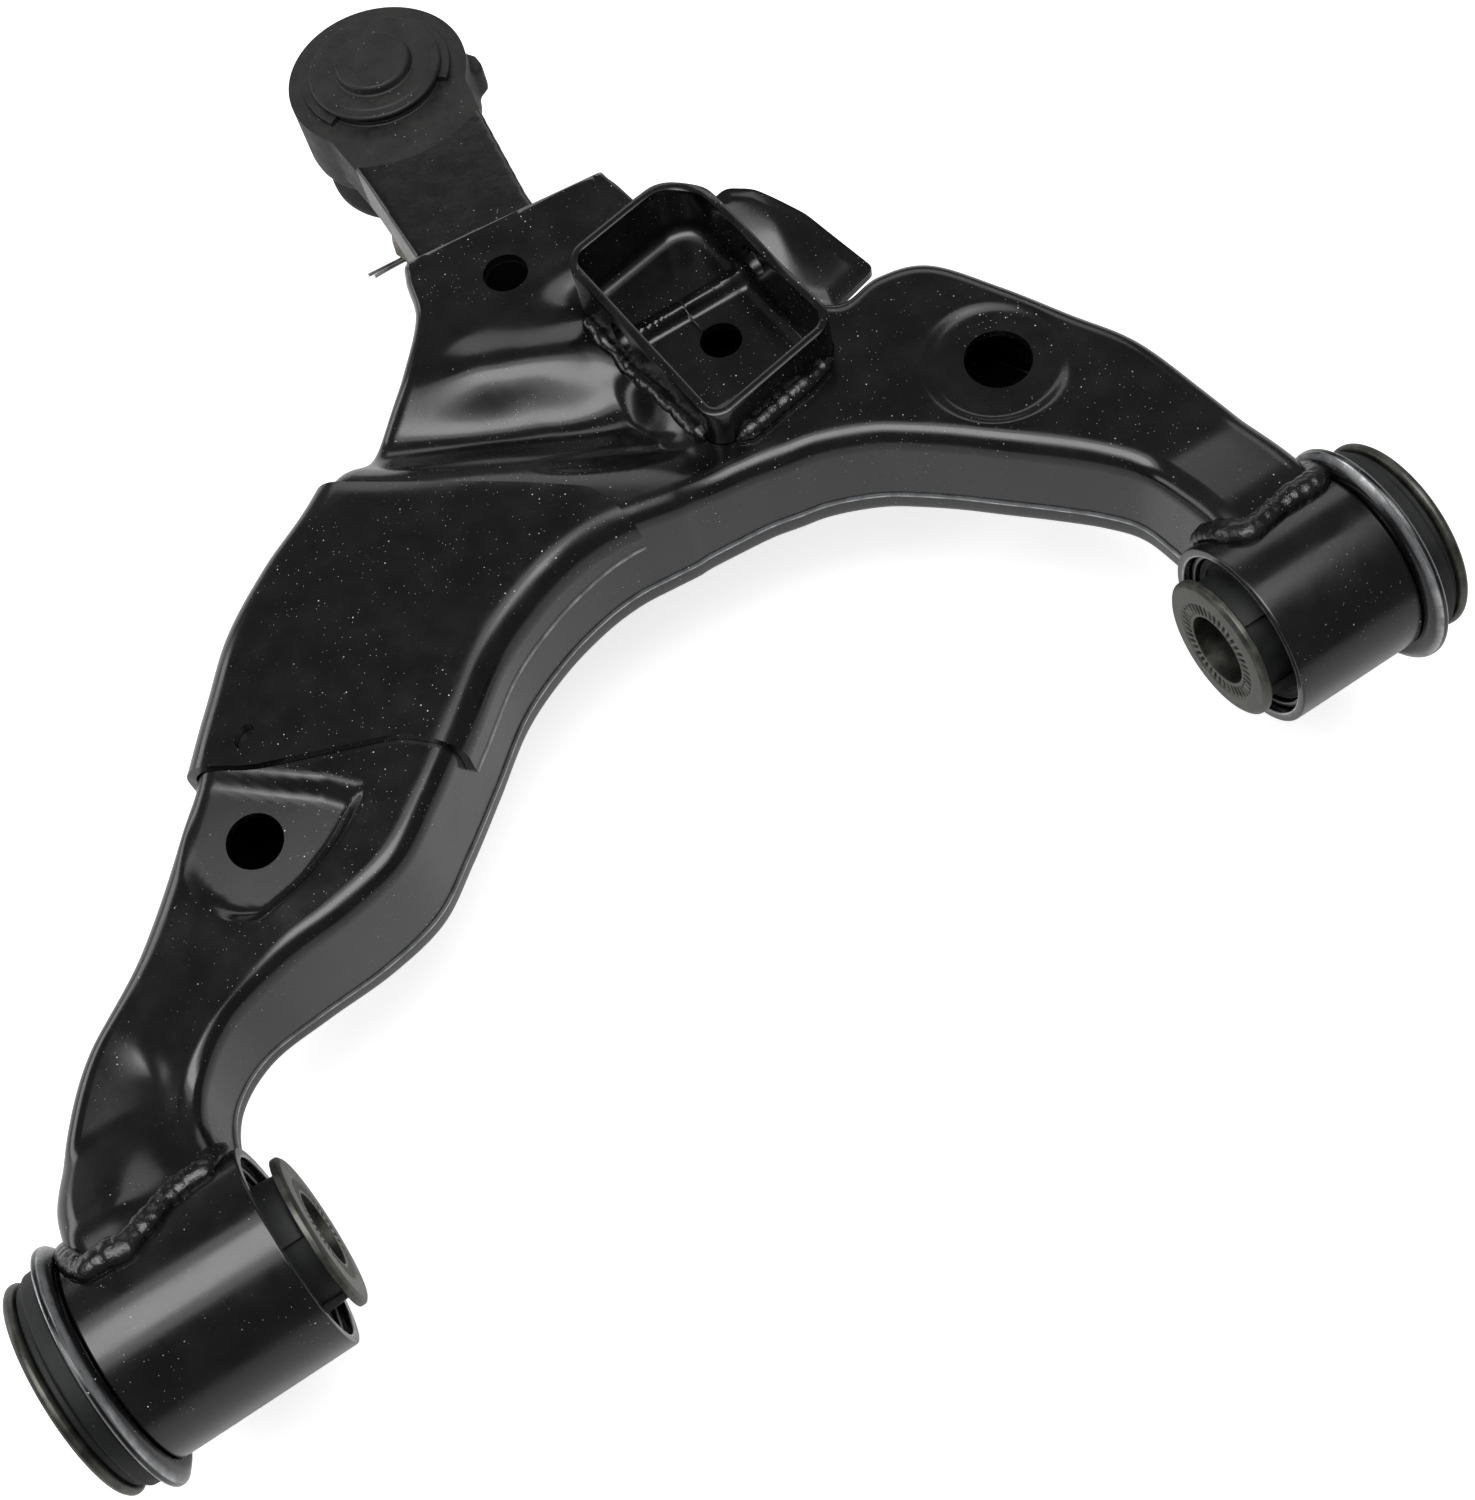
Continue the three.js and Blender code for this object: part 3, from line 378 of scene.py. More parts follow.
def gridFaces(rows, columns, wrapRows, wrapColumns):
    # each face joins a point to its neighbours one row and one column on
    i = np.arange(rows if wrapRows else rows - 1)[:, None]
    j = np.arange(columns if wrapColumns else columns - 1)[None, :]
    nextI, nextJ = (i + 1) % rows, (j + 1) % columns
    faces = np.stack([i * columns + j, nextI * columns + j, nextI * columns + nextJ, i * columns + nextJ], -1)
    return faces.reshape(-1, 4)


def solidFrom(name, grid, wrapRows=False, wrapColumns=True):
    # a closed body from a grid in millimetres; its open ends get one flat face each
    rows, columns = grid.shape[:2]
    faces = gridFaces(rows, columns, wrapRows, wrapColumns).tolist()
    if not wrapRows:
        faces.append(list(range(columns)))
        faces.append(list(range((rows - 1) * columns, rows * columns))[::-1])
    mesh = bpy.data.meshes.new(name)
    mesh.from_pydata((grid.reshape(-1, 3) / 1000 + axisMiddle).tolist(), [], faces)
    work = bmesh.new()
    work.from_mesh(mesh)
    bmesh.ops.remove_doubles(work, verts=work.verts, dist=1e-6)
    bmesh.ops.recalc_face_normals(work, faces=work.faces)
    if work.calc_volume(signed=True) < 0:
        bmesh.ops.reverse_faces(work, faces=work.faces)
    work.to_mesh(mesh)
    work.free()
    made = bpy.data.objects.new(name, mesh)
    scene.collection.objects.link(made)
    return made


def filleted(points, fillet, closed=True, steps=4):
    # each corner becomes a quadratic arc that starts `fillet` before the corner and ends as far after it
    p = np.asarray(points, float)
    before, after = np.roll(p, 1, 0) - p, np.roll(p, -1, 0) - p
    reachBefore, reachAfter = np.linalg.norm(before, axis=1), np.linalg.norm(after, axis=1)
    cut = np.minimum(np.minimum(reachBefore, reachAfter) * 0.38, fillet)[:, None]
    u, v = before / np.maximum(reachBefore, 1e-9)[:, None], after / np.maximum(reachAfter, 1e-9)[:, None]
    t = np.linspace(0, 1, steps + 1)[None, :, None]
    start, end = (p + u * cut)[:, None], (p + v * cut)[:, None]
    arc = (1 - t) ** 2 * start + 2 * t * (1 - t) * p[:, None] + t ** 2 * end
    ring = np.concatenate([(p + u * cut * 1.25)[:, None], arc, (p + v * cut * 1.25)[:, None]], 1)
    if closed:
        return ring.reshape(-1, 2)
    return np.concatenate([p[:1], ring[1:-1].reshape(-1, 2), p[-1:]])


def around(count):
    # evenly spaced angles, once round
    return np.linspace(0, 2 * np.pi, count, endpoint=False)


def turnedGrid(profile, segments):
    # a profile of radius and height carried round the Z axis
    angle = around(segments)[:, None]
    r, z = np.asarray(profile, float).T
    return np.stack([r * np.cos(angle), r * np.sin(angle), z + 0 * angle], -1)


def sweptGrid(path, section, up=(0, 0, 1)):
    # a closed section of (side, up) points carried square to a path
    path = np.asarray(path, float)
    ahead = np.gradient(path, axis=0)
    ahead /= np.linalg.norm(ahead, axis=1)[:, None]
    side = np.cross(ahead, np.asarray(up, float))
    side /= np.linalg.norm(side, axis=1)[:, None]
    top = np.cross(side, ahead)
    section = np.asarray(section, float)
    if section.ndim == 2:
        section = np.broadcast_to(section, (len(path), *section.shape))
    return path[:, None] + side[:, None] * section[..., :1] + top[:, None] * section[..., 1:]


def circleSection(radius, sides):
    angle = around(sides)
    return np.stack([np.cos(angle), np.sin(angle)], -1) * radius


def ringAt(outline, z):
    return np.column_stack([outline, np.full(len(outline), z)])


def prismBody(outline, low, high):
    outline = np.asarray(outline, float)
    return solidFrom("cutter", np.array([ringAt(outline, z) for z in (low, high)]))


def rodBody(radius, start, end, axis, middle=(0, 0, 0), sides=96):
    # a round bar along the X (0) or Z (2) axis
    ring = circleSection(radius, sides)
    grid = np.zeros((2, sides, 3))
    others = [k for k in range(3) if k != axis]
    grid[..., others[0]], grid[..., others[1]] = ring[:, 0], ring[:, 1]
    grid[0, :, axis], grid[1, :, axis] = start, end
    return solidFrom("cutter", grid + np.asarray(middle, float))


def drill(hole, low, high, more=0.0):
    # an upright round cutter for a hole given as (x, y, radius)
    x, y, radius = hole
    return rodBody(radius + more, low, high, 2, (x, y, 0))


def settle(piece):
    # makes the modifiers part of the mesh
    bpy.context.view_layer.update()
    made = bpy.data.meshes.new_from_object(piece.evaluated_get(bpy.context.evaluated_depsgraph_get()))
    piece.modifiers.clear()
    old, piece.data = piece.data, made
    bpy.data.meshes.remove(old)


def carve(piece, others, operation="DIFFERENCE"):
    for other in others:
        cut = piece.modifiers.new("cut", "BOOLEAN")
        cut.operation, cut.object, cut.solver = operation, other, "MANIFOLD"
    settle(piece)
    for other in others:
        mesh = other.data
        bpy.data.objects.remove(other)
        bpy.data.meshes.remove(mesh)


def pointsOf(piece):
    flat = np.empty(len(piece.data.vertices) * 3)
    piece.data.vertices.foreach_get("co", flat)
    return (flat.reshape(-1, 3) - axisMiddle) * 1000


def finishPiece(piece, name, material, body="arm", stands=(), sharp=34, edgeHighlight=None):
    # the last argument gives, from 0 to 1, how strongly a bare-steel colour is painted on at each point as an
    # edge highlight
    piece.name = name
    mesh = piece.data
    if edgeHighlight is not None:
        attribute = mesh.attributes.new("paintedEdgeHighlight", "FLOAT", "POINT")
        attribute.data.foreach_set("value", np.clip(edgeHighlight(pointsOf(piece)), 0, 1).astype(np.float32))
    mesh.name = name
    mesh.materials.clear()
    mesh.materials.append(material)
    mesh.shade_smooth()
    mesh.set_sharp_from_angle(angle=math.radians(sharp))
    if isinstance(body, str):
        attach(piece, body)
    if stands:
        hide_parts(*stands)


paint = ecoatSteel()
weldPaint = ecoatSteel("electrocoatOverWeld", 2.4, 0.35, 1.6, 0.04)
roughPaint = ecoatSteel("electrocoatOverSpatteredSteel", 1.6, 0.16, 1.6, 0.1)
rubber = mouldedRubber()
makeStudio()
print("studio and materials ready")

# the pressed shells; `mouthFrom` is the x the sloping end of the shells is measured from
arm = {
    "sheet": 3.2, "gap": 0.3, "seam": -12, "floor": -24, "lap": 9, "noseTop": 21.5, "crown": 36, "edge": 8,
    "mouthLeft": 302, "mouthSlope": -0.11, "mouthFrom": 28, "rows": 400, "strapHole": (55, 274, 8.6),
}
# plan of the wishbone: inner edge x, y and outer edge x, y, from the left eye round to the right one
stationTable = np.array([
    (-187, 6, -241, 6), (-187, 30, -241, 30), (-187, 45, -239, 48), (-180, 58, -228, 70),
    (-165, 67, -209, 92),
    (-143, 70, -180, 110), (-116, 72, -156, 128), (-92, 78, -136, 147), (-72, 92, -118, 167),
    (-52, 108, -100, 187),
    (-30, 126, -78, 203), (-8, 137, -52, 218), (12, 143, -28, 241), (28, 145, 0, 261), (42, 144, 18, 281),
    (52, 143, 24, 300), (58, 143, 32, 309), (70, 142, 68, 307), (80, 141, 104, 304), (86, 140, 110, 292),
    (94, 138, 113, 272), (103, 136, 121, 240), (113, 132, 131, 208), (124, 126, 145, 187),
    (134, 118, 164, 188),
    (144, 109, 182, 181), (155, 98, 197, 158), (168, 85, 210, 133), (180, 72, 222, 109), (188, 60, 228, 77),
    (191, 45, 232, 47), (192, 30, 233, 30), (192, 12, 233, 12),
], float)


def mouthEdge(x):
    # y of the shells' end over the strap: it falls a little towards the right
    return arm["mouthLeft"] + arm["mouthSlope"] * (x - arm["mouthFrom"])


def armPlan(rows, first=0, last=None):
    # a smooth curve through the stations (each span a cubic set by its four nearest points), evenly stepped
    p = stationTable[first:last]
    u = np.linspace(0, len(p) - 1, 60 * (len(p) - 1) + 1)
    i = np.clip(u.astype(int), 0, len(p) - 2)
    f = (u - i)[:, None]
    a, b, c, d = (p[np.clip(i + k, 0, len(p) - 1)] for k in (-1, 0, 1, 2))
    curve = b + 0.5 * f * ((c - a) + f * ((2 * a - 5 * b + 4 * c - d) + f * (3 * (b - c) + d - a)))
    step = np.diff(curve, axis=0)
    longer = np.maximum(np.hypot(step[:, 0], step[:, 1]), np.hypot(step[:, 2], step[:, 3]))
    length = np.concatenate([[0], np.cumsum(longer)])
    even = np.linspace(0, length[-1], rows)
    return np.stack([np.interp(even, length, curve[:, k]) for k in range(4)], -1)


def ramp(low, high, value, soft=3.0):
    # a straight slope from 0 to 1 whose two creases are rounded over `soft` mm each way
    steps = np.linspace(-soft, soft, 7)
    return sum(np.clip((value + k - low) / (high - low), 0, 1) for k in steps) / len(steps)


def baseHeight(x, y):
    # low along the legs with ends flared over the eyes, a crown under the strike plate, a level nose
    # and a valley pressed across between them
    rise = 17 + (arm["crown"] - 17) * smooth(-205, -125, x)
    along = rise + (24 - arm["crown"]) * smooth(0, 90, x) - 3 * smooth(170, 230, x)
    flare = np.where(x < 0, 5 + 9 * smooth(195, 225, -x), 5.5)
    legs = along + flare * (1 - ramp(30, 60, y))
    nose = smooth(228, 262, y) * smooth(-60, -20, x)
    level = legs + (arm["noseTop"] - legs) * nose
    fromValley = (y - 247) + 0.57 * (x + 30)
    valley = np.exp(-((fromValley / 24) ** 2)) * smooth(-75, -20, x) * (1 - smooth(60, 78, x))
    return level - np.maximum(level - 7, 0) * 0.9 * valley


panels = {
    "left": [(-156, 119), (-155, 106), (-150.5, 94.5), (-141, 87), (-123, 89), (-104, 96.5), (-88, 108),
             (-99, 118),
             (-117, 140), (-140, 153)],
    "leftFloor": 30.5, "leftHole": (-129, 115, 9.8), "rightHole": (176.5, 129.5, 12.2), "rightFloor": 21.6,
    "rightRadius": 27, "slope": 4.5,
}


def insideBy(x, y, outline):
    # signed distance to a convex outline, negative inside: the greatest distance beyond any of its sides
    p = np.asarray(outline, float)
    side = np.roll(p, -1, 0) - p
    turn = np.sign(np.sum(p[:, 0] * np.roll(p[:, 1], -1) - np.roll(p[:, 0], -1) * p[:, 1]))
    normal = np.stack([side[:, 1], -side[:, 0]], -1) / np.linalg.norm(side, axis=1)[:, None] * turn
    away = (x[..., None] - p[:, 0]) * normal[:, 0] + (y[..., None] - p[:, 1]) * normal[:, 1]
    return away.max(-1)


def pressedHeight(x, y):
    # the base form with the two sunk panels and the small leaf-shaped press beside the strike plate
    z = baseHeight(x, y)
    slope = panels["slope"]
    leftAway = insideBy(x, y, filleted(panels["left"], 9))
    leftFloor = panels["leftFloor"] + 0.04 * (x + 129) + 0.085 * (y - 115)
    z = z - np.maximum(z - leftFloor, 0) * (1 - smooth(-slope - 1.5, 1.2, leftAway))
    rx, ry, _ = panels["rightHole"]
    rightAway = np.hypot(x - rx + 2, y - ry + 1) - panels["rightRadius"]
    rightFloor = panels["rightFloor"] + 0.03 * (y - ry)
    z = z - np.maximum(z - rightFloor, 0) * (1 - smooth(-slope - 1, 0.5, rightAway))
    along = (x - 44) * 0.94 - (y - 176) * 0.34
    across = (x - 44) * 0.34 + (y - 176) * 0.94
    leaf = 1 - smooth(0.1, 1.1, (along / 28) ** 2 + (across / 8.5) ** 2)
    # a bowl drawn down beside the cup, and a small dimple near the left eye
    bowl = ramp(28, 72, x + 0.12 * (y - 225), 4) * smooth(188, 214, y) * (1 - smooth(240, 264, y))
    dimple = np.exp(-(((x + 195) / 5.5) ** 2 + ((y - 70) / 9) ** 2))
    return z - 2.4 * leaf - 9.5 * bowl - 1.8 * dimple


def insetEdges(plan, inset):
    # both edges of the plan moved inwards, square to themselves, and the width left between them
    p, q = plan[:, :2], plan[:, 2:]
    dp, dq = np.gradient(p, axis=0), np.gradient(q, axis=0)
    p = p + np.stack([-dp[:, 1], dp[:, 0]], -1) / np.linalg.norm(dp, axis=1)[:, None] * inset
    q = q + np.stack([dq[:, 1], -dq[:, 0]], -1) / np.linalg.norm(dq, axis=1)[:, None] * inset
    return p, q, np.linalg.norm(q - p, axis=1)[:, None]


def overArm(plan, inset, bottom, height, topSteps=84, lip=0.0):
    # across each station: up the inner wall, round the pressed edge, over the top, and down the outer wall
    wallRows = arcSteps = 7
    p, q, span = insetEdges(plan, inset)
    radius = max(arm["edge"] - inset, 2)
    turn = np.linspace(0, np.pi / 2, arcSteps + 1)
    wall = np.zeros(wallRows)
    wall[:2] = -lip      # the sheared edge is turned out a little
    arc, drop = radius * (1 - np.cos(turn)), radius * (1 - np.sin(turn))
    top = radius + (span - 2 * radius) * np.linspace(0, 1, topSteps)[None, 1:-1]
    near = np.broadcast_to(np.concatenate([wall, arc]), (len(p), wallRows + arcSteps + 1))
    w = np.concatenate([near, top, span - near[:, ::-1]], 1)
    drops = np.concatenate([np.full(wallRows, radius), drop, np.zeros(topSteps - 2), drop[::-1],
                            np.full(wallRows, radius)])
    share, rise = np.ones(w.shape[1]), np.zeros(w.shape[1])
    share[:wallRows] = np.concatenate([[0, 0, 0], np.linspace(0, 1, wallRows - 2)[1:]])
    rise[:3] = 0, 0.8, 1.7
    share[-wallRows:], rise[-3:] = share[:wallRows][::-1], rise[:3][::-1]
    share[wallRows - 1] = share[-wallRows] = 0.97
    plane = p[:, None] + (q - p)[:, None] * (w / span)[..., None]
    z = height(plane[..., 0], plane[..., 1]) - inset - drops
    z = bottom + rise + (np.maximum(z, bottom + 2.2) - bottom - rise) * share
    return np.concatenate([plane, z[..., None]], -1)


def shellBody(name, plan, outside, inside, bottom, height, lip, **steps):
    outer = overArm(plan, outside, bottom, height, lip=lip, **steps)
    inner = overArm(plan, inside, bottom, height, **steps)
    return solidFrom(name, np.concatenate([outer, inner[:, ::-1]], 1))


bushes = {
    "left": {"sign": -1, "radius": 36, "length": 67.2, "flange": 27, "voidTurn": 150},
    "right": {"sign": 1, "radius": 34, "length": 54.5, "flange": 26, "voidTurn": -30},   # degrees
    "mouth": 183, "wall": 3.5, "sleeveWall": 2, "lip": 6.8, "collar": 5, "bore": 12, "coreWall": 5,
    "standOff": 9.5, "flangeThick": 3.2, "thrust": 9.5, "thrustStep": 4.5, "plate": 3.6, "plateStep": 5.2,
    "voidHalf": 0.72, "teeth": 42,
    "toothHeight": 0.75,   # half the voids' sweep in radians, and the flange's teeth
}


def eyeRods(grow=0.3):
    # what the legs are cut back to where they meet the eye tubes
    mouth = bushes["mouth"]
    return [rodBody(bushes["left"]["radius"] + grow, -mouth - 90, -10, 0),
            rodBody(bushes["right"]["radius"] + grow, 10, mouth + 90, 0)]


def beyondMouth(setBack):
    edge = [(x, mouthEdge(x) - setBack) for x in (-60, 170)]
    return prismBody([*edge, (170, 400), (-60, 400)], -60, 90)


cup = {
    "x": 102, "y": 207.5, "width": 59, "length": 96, "sheet": 3.5, "rim": 42, "floor": 10, "corner": 9,
    "cut": 18,
    "step": 3, "drain": (105, 203.5, 7.8), "bolt": (213.5, 31, 6.5), "outerFillet": 5, "innerFillet": 4.5,
    "ridges": [(222.5, 1.6, 2.2), (176, 1.0, 2.0)],           # across the floor: y, height, half width
    "dips": [(124, 251, 3.4, 90), (131, 200, 1.2, 160)],      # in the rim: x, y, depth, width squared
    "skewX": -0.06,
    "skewY": 0.19,     # the cup stands a little askew: both pairs of walls lean off the square
}


def skewed(u, v):
    # from the cup's own width and length to the arm's plan
    return np.stack([cup["x"] + u + cup["skewX"] * v, cup["y"] + v + cup["skewY"] * u], -1)


def cupRing(inset, count=480):
    # a rectangle with round corners, drawn in by `inset` and skewed; the far right corner is cut off wide
    w, l = cup["width"] / 2 - inset, cup["length"] / 2 - inset
    radii = [max(cup["corner"] - inset, 1.2)] * 3
    radii.insert(2, max(cup["cut"] - inset, 2))
    corners = [(-1, -1), (1, -1), (1, 1), (-1, 1)]
    turns = np.linspace(0, np.pi / 2, count // 8)
    parts = []
    for k, ((sx, sy), radius) in enumerate(zip(corners, radii)):
        radius = min(radius, w - 0.05, l - 0.05)
        angle = turns + np.pi + k * np.pi / 2
        centre = np.array([sx * (w - radius), sy * (l - radius)])
        parts.append(centre + radius * np.stack([np.cos(angle), np.sin(angle)], -1))
    parts.append(parts[0][:1])
    sides = []
    for k in range(4):
        a, b = parts[k][-1], parts[(k + 1) % 4][0]
        t = np.linspace(0, 1, count // 8 + 1)[1:-1, None]
        sides += [parts[k], a + (b - a) * t]
    ring = np.concatenate(sides)
    return skewed(ring[:, 0], ring[:, 1])


def makeUpperShell():
    piece = shellBody("upperShell", armPlan(arm["rows"]), 0, arm["sheet"], arm["seam"], pressedHeight, 0.9)
    holes = [drill(panels["leftHole"], -40, 60), drill(panels["rightHole"], -40, 60),
             drill(arm["strapHole"], 0, 60)]
    pocket = prismBody(cupRing(-arm["gap"]), cup["floor"] - arm["gap"], 70)
    carve(piece, eyeRods() + [beyondMouth(0), pocket] + holes)

    def edgeHighlight(p):
        # the sheared bottom edge gets a bare-steel colour painted on as a highlight line, and the cut end
        # over the strap nearly as strong a one
        bottom = 1.0 * (p[:, 2] < arm["seam"] + 0.9)
        return np.maximum(bottom, 0.9 * (mouthEdge(p[:, 0]) - p[:, 1] < 0.1) * (p[:, 2] > 5))

    finishPiece(piece, "upperPressedShell", paint, stands=["upper_shell"], edgeHighlight=edgeHighlight)


lower = {
    "stepOut": 2.9, "outerCorner": 4.5, "innerCorner": 2, "swage": 3.0, "setBack": 2.5,
    "middleDrain": (40, 190, 8),
    "leftDrainLess": -3, "rightDrainLess": -4,
    "strapSlot": ([(31.7, 284), (81.3, 284), (81.3, 308), (31.7, 308)], -7.4, 18.2),
}


def makeLowerShell():
    # a tray nested inside the upper shell: walls down to a flat floor with round corners
    plan = armPlan(arm["rows"])
    nest, sheet, top = arm["sheet"] + arm["gap"], arm["sheet"], arm["seam"] + arm["lap"]

    def trayRows(inset, floor, radius):
        p, q, span = insetEdges(plan, inset)
        # nested inside the upper shell down to the seam, then stepped out nearly flush with it
        turn = np.linspace(0, np.pi / 2, 6)
        out = lower["stepOut"]
        near = np.concatenate([[0, 0, 0, -0.6, -out, -out], radius * (1 - np.cos(turn)) - out])
        seam = arm["seam"]
        depth = np.concatenate([[top, (top + seam) / 2, seam - 0.5, seam - 0.9, seam - 1.9, seam - 3.5],
                                floor + radius * (1 - np.sin(turn))])
        mid = near[-1] + (span - 2 * near[-1]) * np.linspace(0, 1, 34)[None, 1:-1]
        w = np.concatenate([np.broadcast_to(near, (len(p), len(near))), mid, span - near[None, ::-1]], 1)
        z = np.concatenate([depth, np.full(32, floor), depth[::-1]])
        plane = p[:, None] + (q - p)[:, None] * (w / span)[..., None]
        # a long shallow stiffening swage down the middle of the floor
        middle = np.abs(w / span - 0.5)
        swage = lower["swage"] * (1 - smooth(0.16, 0.24, middle)) * (z < floor + 0.1)
        return np.concatenate([plane, (z + swage)[..., None]], -1)

    outer = trayRows(nest, arm["floor"], lower["outerCorner"])
    inner = trayRows(nest + sheet, arm["floor"] + sheet, lower["innerCorner"])
    piece = solidFrom("lowerShell", np.concatenate([outer, inner[:, ::-1]], 1))
    holes = [drill(panels["leftHole"], -60, 10, lower["leftDrainLess"]),
             drill(panels["rightHole"], -60, 10, lower["rightDrainLess"]),
             drill(lower["middleDrain"], -60, 5)]
    carve(piece, eyeRods() + [beyondMouth(lower["setBack"]), prismBody(*lower["strapSlot"])] + holes)
    finishPiece(piece, "lowerPressedShell", paint, stands=["lower_shell"])


strike = {
    "sheet": 3.3, "flange": 18, "hole": (-114, 146), "holeHalf": (4.6, 3.1), "holeTurn": (0.8, 0.6),
    "outline": [(-158, 170), (-137, 149), (-117, 135), (-71, 116), (-48, 92), (20, 120), (37, 135), (33, 150),
                (30, 162), (-85, 252)],
}


def makeStrikePlate():
    plan = armPlan(200, 3, 18)
    gap = arm["gap"]
    piece = shellBody("strikePlate", plan, -gap - strike["sheet"], -gap, strike["flange"], baseHeight, 0.5,
                      topSteps=50)
    outline = prismBody(filleted(strike["outline"], 5, steps=5), strike["flange"], 70)
    carve(piece, [outline], "INTERSECT")
    angle, (long, short), (c, s) = around(48), strike["holeHalf"], strike["holeTurn"]
    oval = np.stack([long * np.cos(angle), short * np.sin(angle)], -1)
    carve(piece, [prismBody(oval @ np.array([[c, -s], [s, c]]).T + np.array(strike["hole"]), 0, 70)])
    # a bare-steel colour is painted along the flange's bottom edge as a highlight line
    edgeHighlight = lambda p: 0.7 * (p[:, 2] < strike["flange"] + 0.9)
    finishPiece(piece, "strikePlate", paint, stands=["strike_plate"], edgeHighlight=edgeHighlight)


def makeShockCup():
    # rings from the middle of the underside out, up the outside, over the rim,
    # down inside and in across the floor
    sheet, rim, low = cup["sheet"], cup["rim"], cup["floor"]
    outer, inner = cup["outerFillet"], cup["innerFillet"]
    outside = [(k, low) for k in np.linspace(26, outer, 12)]
    outside += [(outer * (1 - math.sin(t)), low + outer * (1 - math.cos(t)))
                for t in np.linspace(0.3, 1.571, 5)]
    outside += [(0, z) for z in np.linspace(low + 6, rim - 1, 12)] + [(0.15, rim - 0.3), (0.7, rim)]
    inside = [(sheet - 0.7, rim), (sheet - 0.15, rim - 0.3)]
    inside += [(sheet, z) for z in np.linspace(rim - 1, low + sheet + 5, 12)]
    inside += [(sheet + inner * (1 - math.cos(t)), low + sheet + inner * (1 - math.sin(t)))
               for t in np.linspace(0.25, 1.571, 6)]
    inside += [(k, low + sheet) for k in np.linspace(9, 29.2, 34)]
    profile = np.array(outside + inside)
    grid = np.array([ringAt(cupRing(inset), z) for inset, z in profile])
    x, y, z = grid[..., 0], grid[..., 1], grid[..., 2]
    share = 1 - smooth(low + 4, low + 16, z)
    stepped = cup["step"] * smooth(-2.5, 2.5, y - 220 + 0.02 * (x - 102))
    ridge = sum(high * np.exp(-(((y - at) / half) ** 2)) for at, high, half in cup["ridges"])
    dip = sum(deep * np.exp(-((x - px) ** 2 + (y - py) ** 2) / wide) for px, py, deep, wide in cup["dips"])
    isInside = (np.arange(len(profile)) >= len(outside))[:, None]
    grid[..., 2] += np.where(isInside, (stepped + ridge) * share, 0) - dip * smooth(rim - 12, rim, z)
    piece = solidFrom("shockCup", grid)
    boltY, boltZ, boltRadius = cup["bolt"]
    carve(piece, [drill(cup["drain"], -5, 22), rodBody(boltRadius, 60, 145, 0, (0, boltY, boltZ))])
    finishPiece(piece, "shockCup", paint, stands=["shock_bracket"], sharp=40)


gusset = {"outline": [(131.9, 212), (151, 200), (173, 206), (162, 234), (150, 250), (141, 255), (131.9, 253)],
          "sheet": 3.3}


def makeGusset():
    # a sloping wing with a shallow bulge, cut to its outline
    x, y = np.meshgrid(np.linspace(129, 177, 60), np.linspace(196, 258, 70), indexing="ij")
    bulge = 3.0 * np.exp(-((x - 148) ** 2 / 90 + (y - 232) ** 2 / 220))
    lip = 1.4 * smooth(0, 6, -insideBy(x, y, gusset["outline"]))
    z = 20 - 0.11 * (x - 139) + 0.4 * (y - 252) + bulge - 1.4 + lip
    top, below = np.stack([x, y, z + gusset["sheet"]], -1), np.stack([x, y, z], -1)
    piece = solidFrom("sideWing", np.concatenate([top, below[:, ::-1]], 1))
    carve(piece, [prismBody(filleted(gusset["outline"], 3), -40, 60)], "INTERSECT")
    finishPiece(piece, "sideWing", paint, stands=["side_gusset"])


makeUpperShell()
makeLowerShell()
makeStrikePlate()
makeShockCup()
makeGusset()
print("pressed steel done")

def alongX(grid, side):
    # turns a form made about Z, with its height as the distance out from the tube mouth, on to the bush axis
    sign = bushes[side]["sign"]
    return np.stack([sign * (bushes["mouth"] + grid[..., 2]), grid[..., 0], grid[..., 1] * sign], -1)


def bushPiece(name, side, profile, fillet, material, body="arm", node=None, segments=128,
              worn=()):
    # `worn` lists the corners of the profile where a bare-steel colour is painted on as a highlight line
    grid = alongX(turnedGrid(filleted(profile, fillet), segments), side)
    piece = solidFrom(name, grid, wrapRows=True, wrapColumns=True)

    def edgeHighlight(p):
        radius, out = np.hypot(p[:, 1], p[:, 2]), np.abs(p[:, 0]) - bushes["mouth"]
        return sum(1 - smooth(0.2, 0.6, np.hypot(radius - r, out - z)) for r, z in worn)

    finishPiece(piece, f"{side}{name}", material, body, [f"{side}_{node}"], edgeHighlight=edgeHighlight if worn else None)


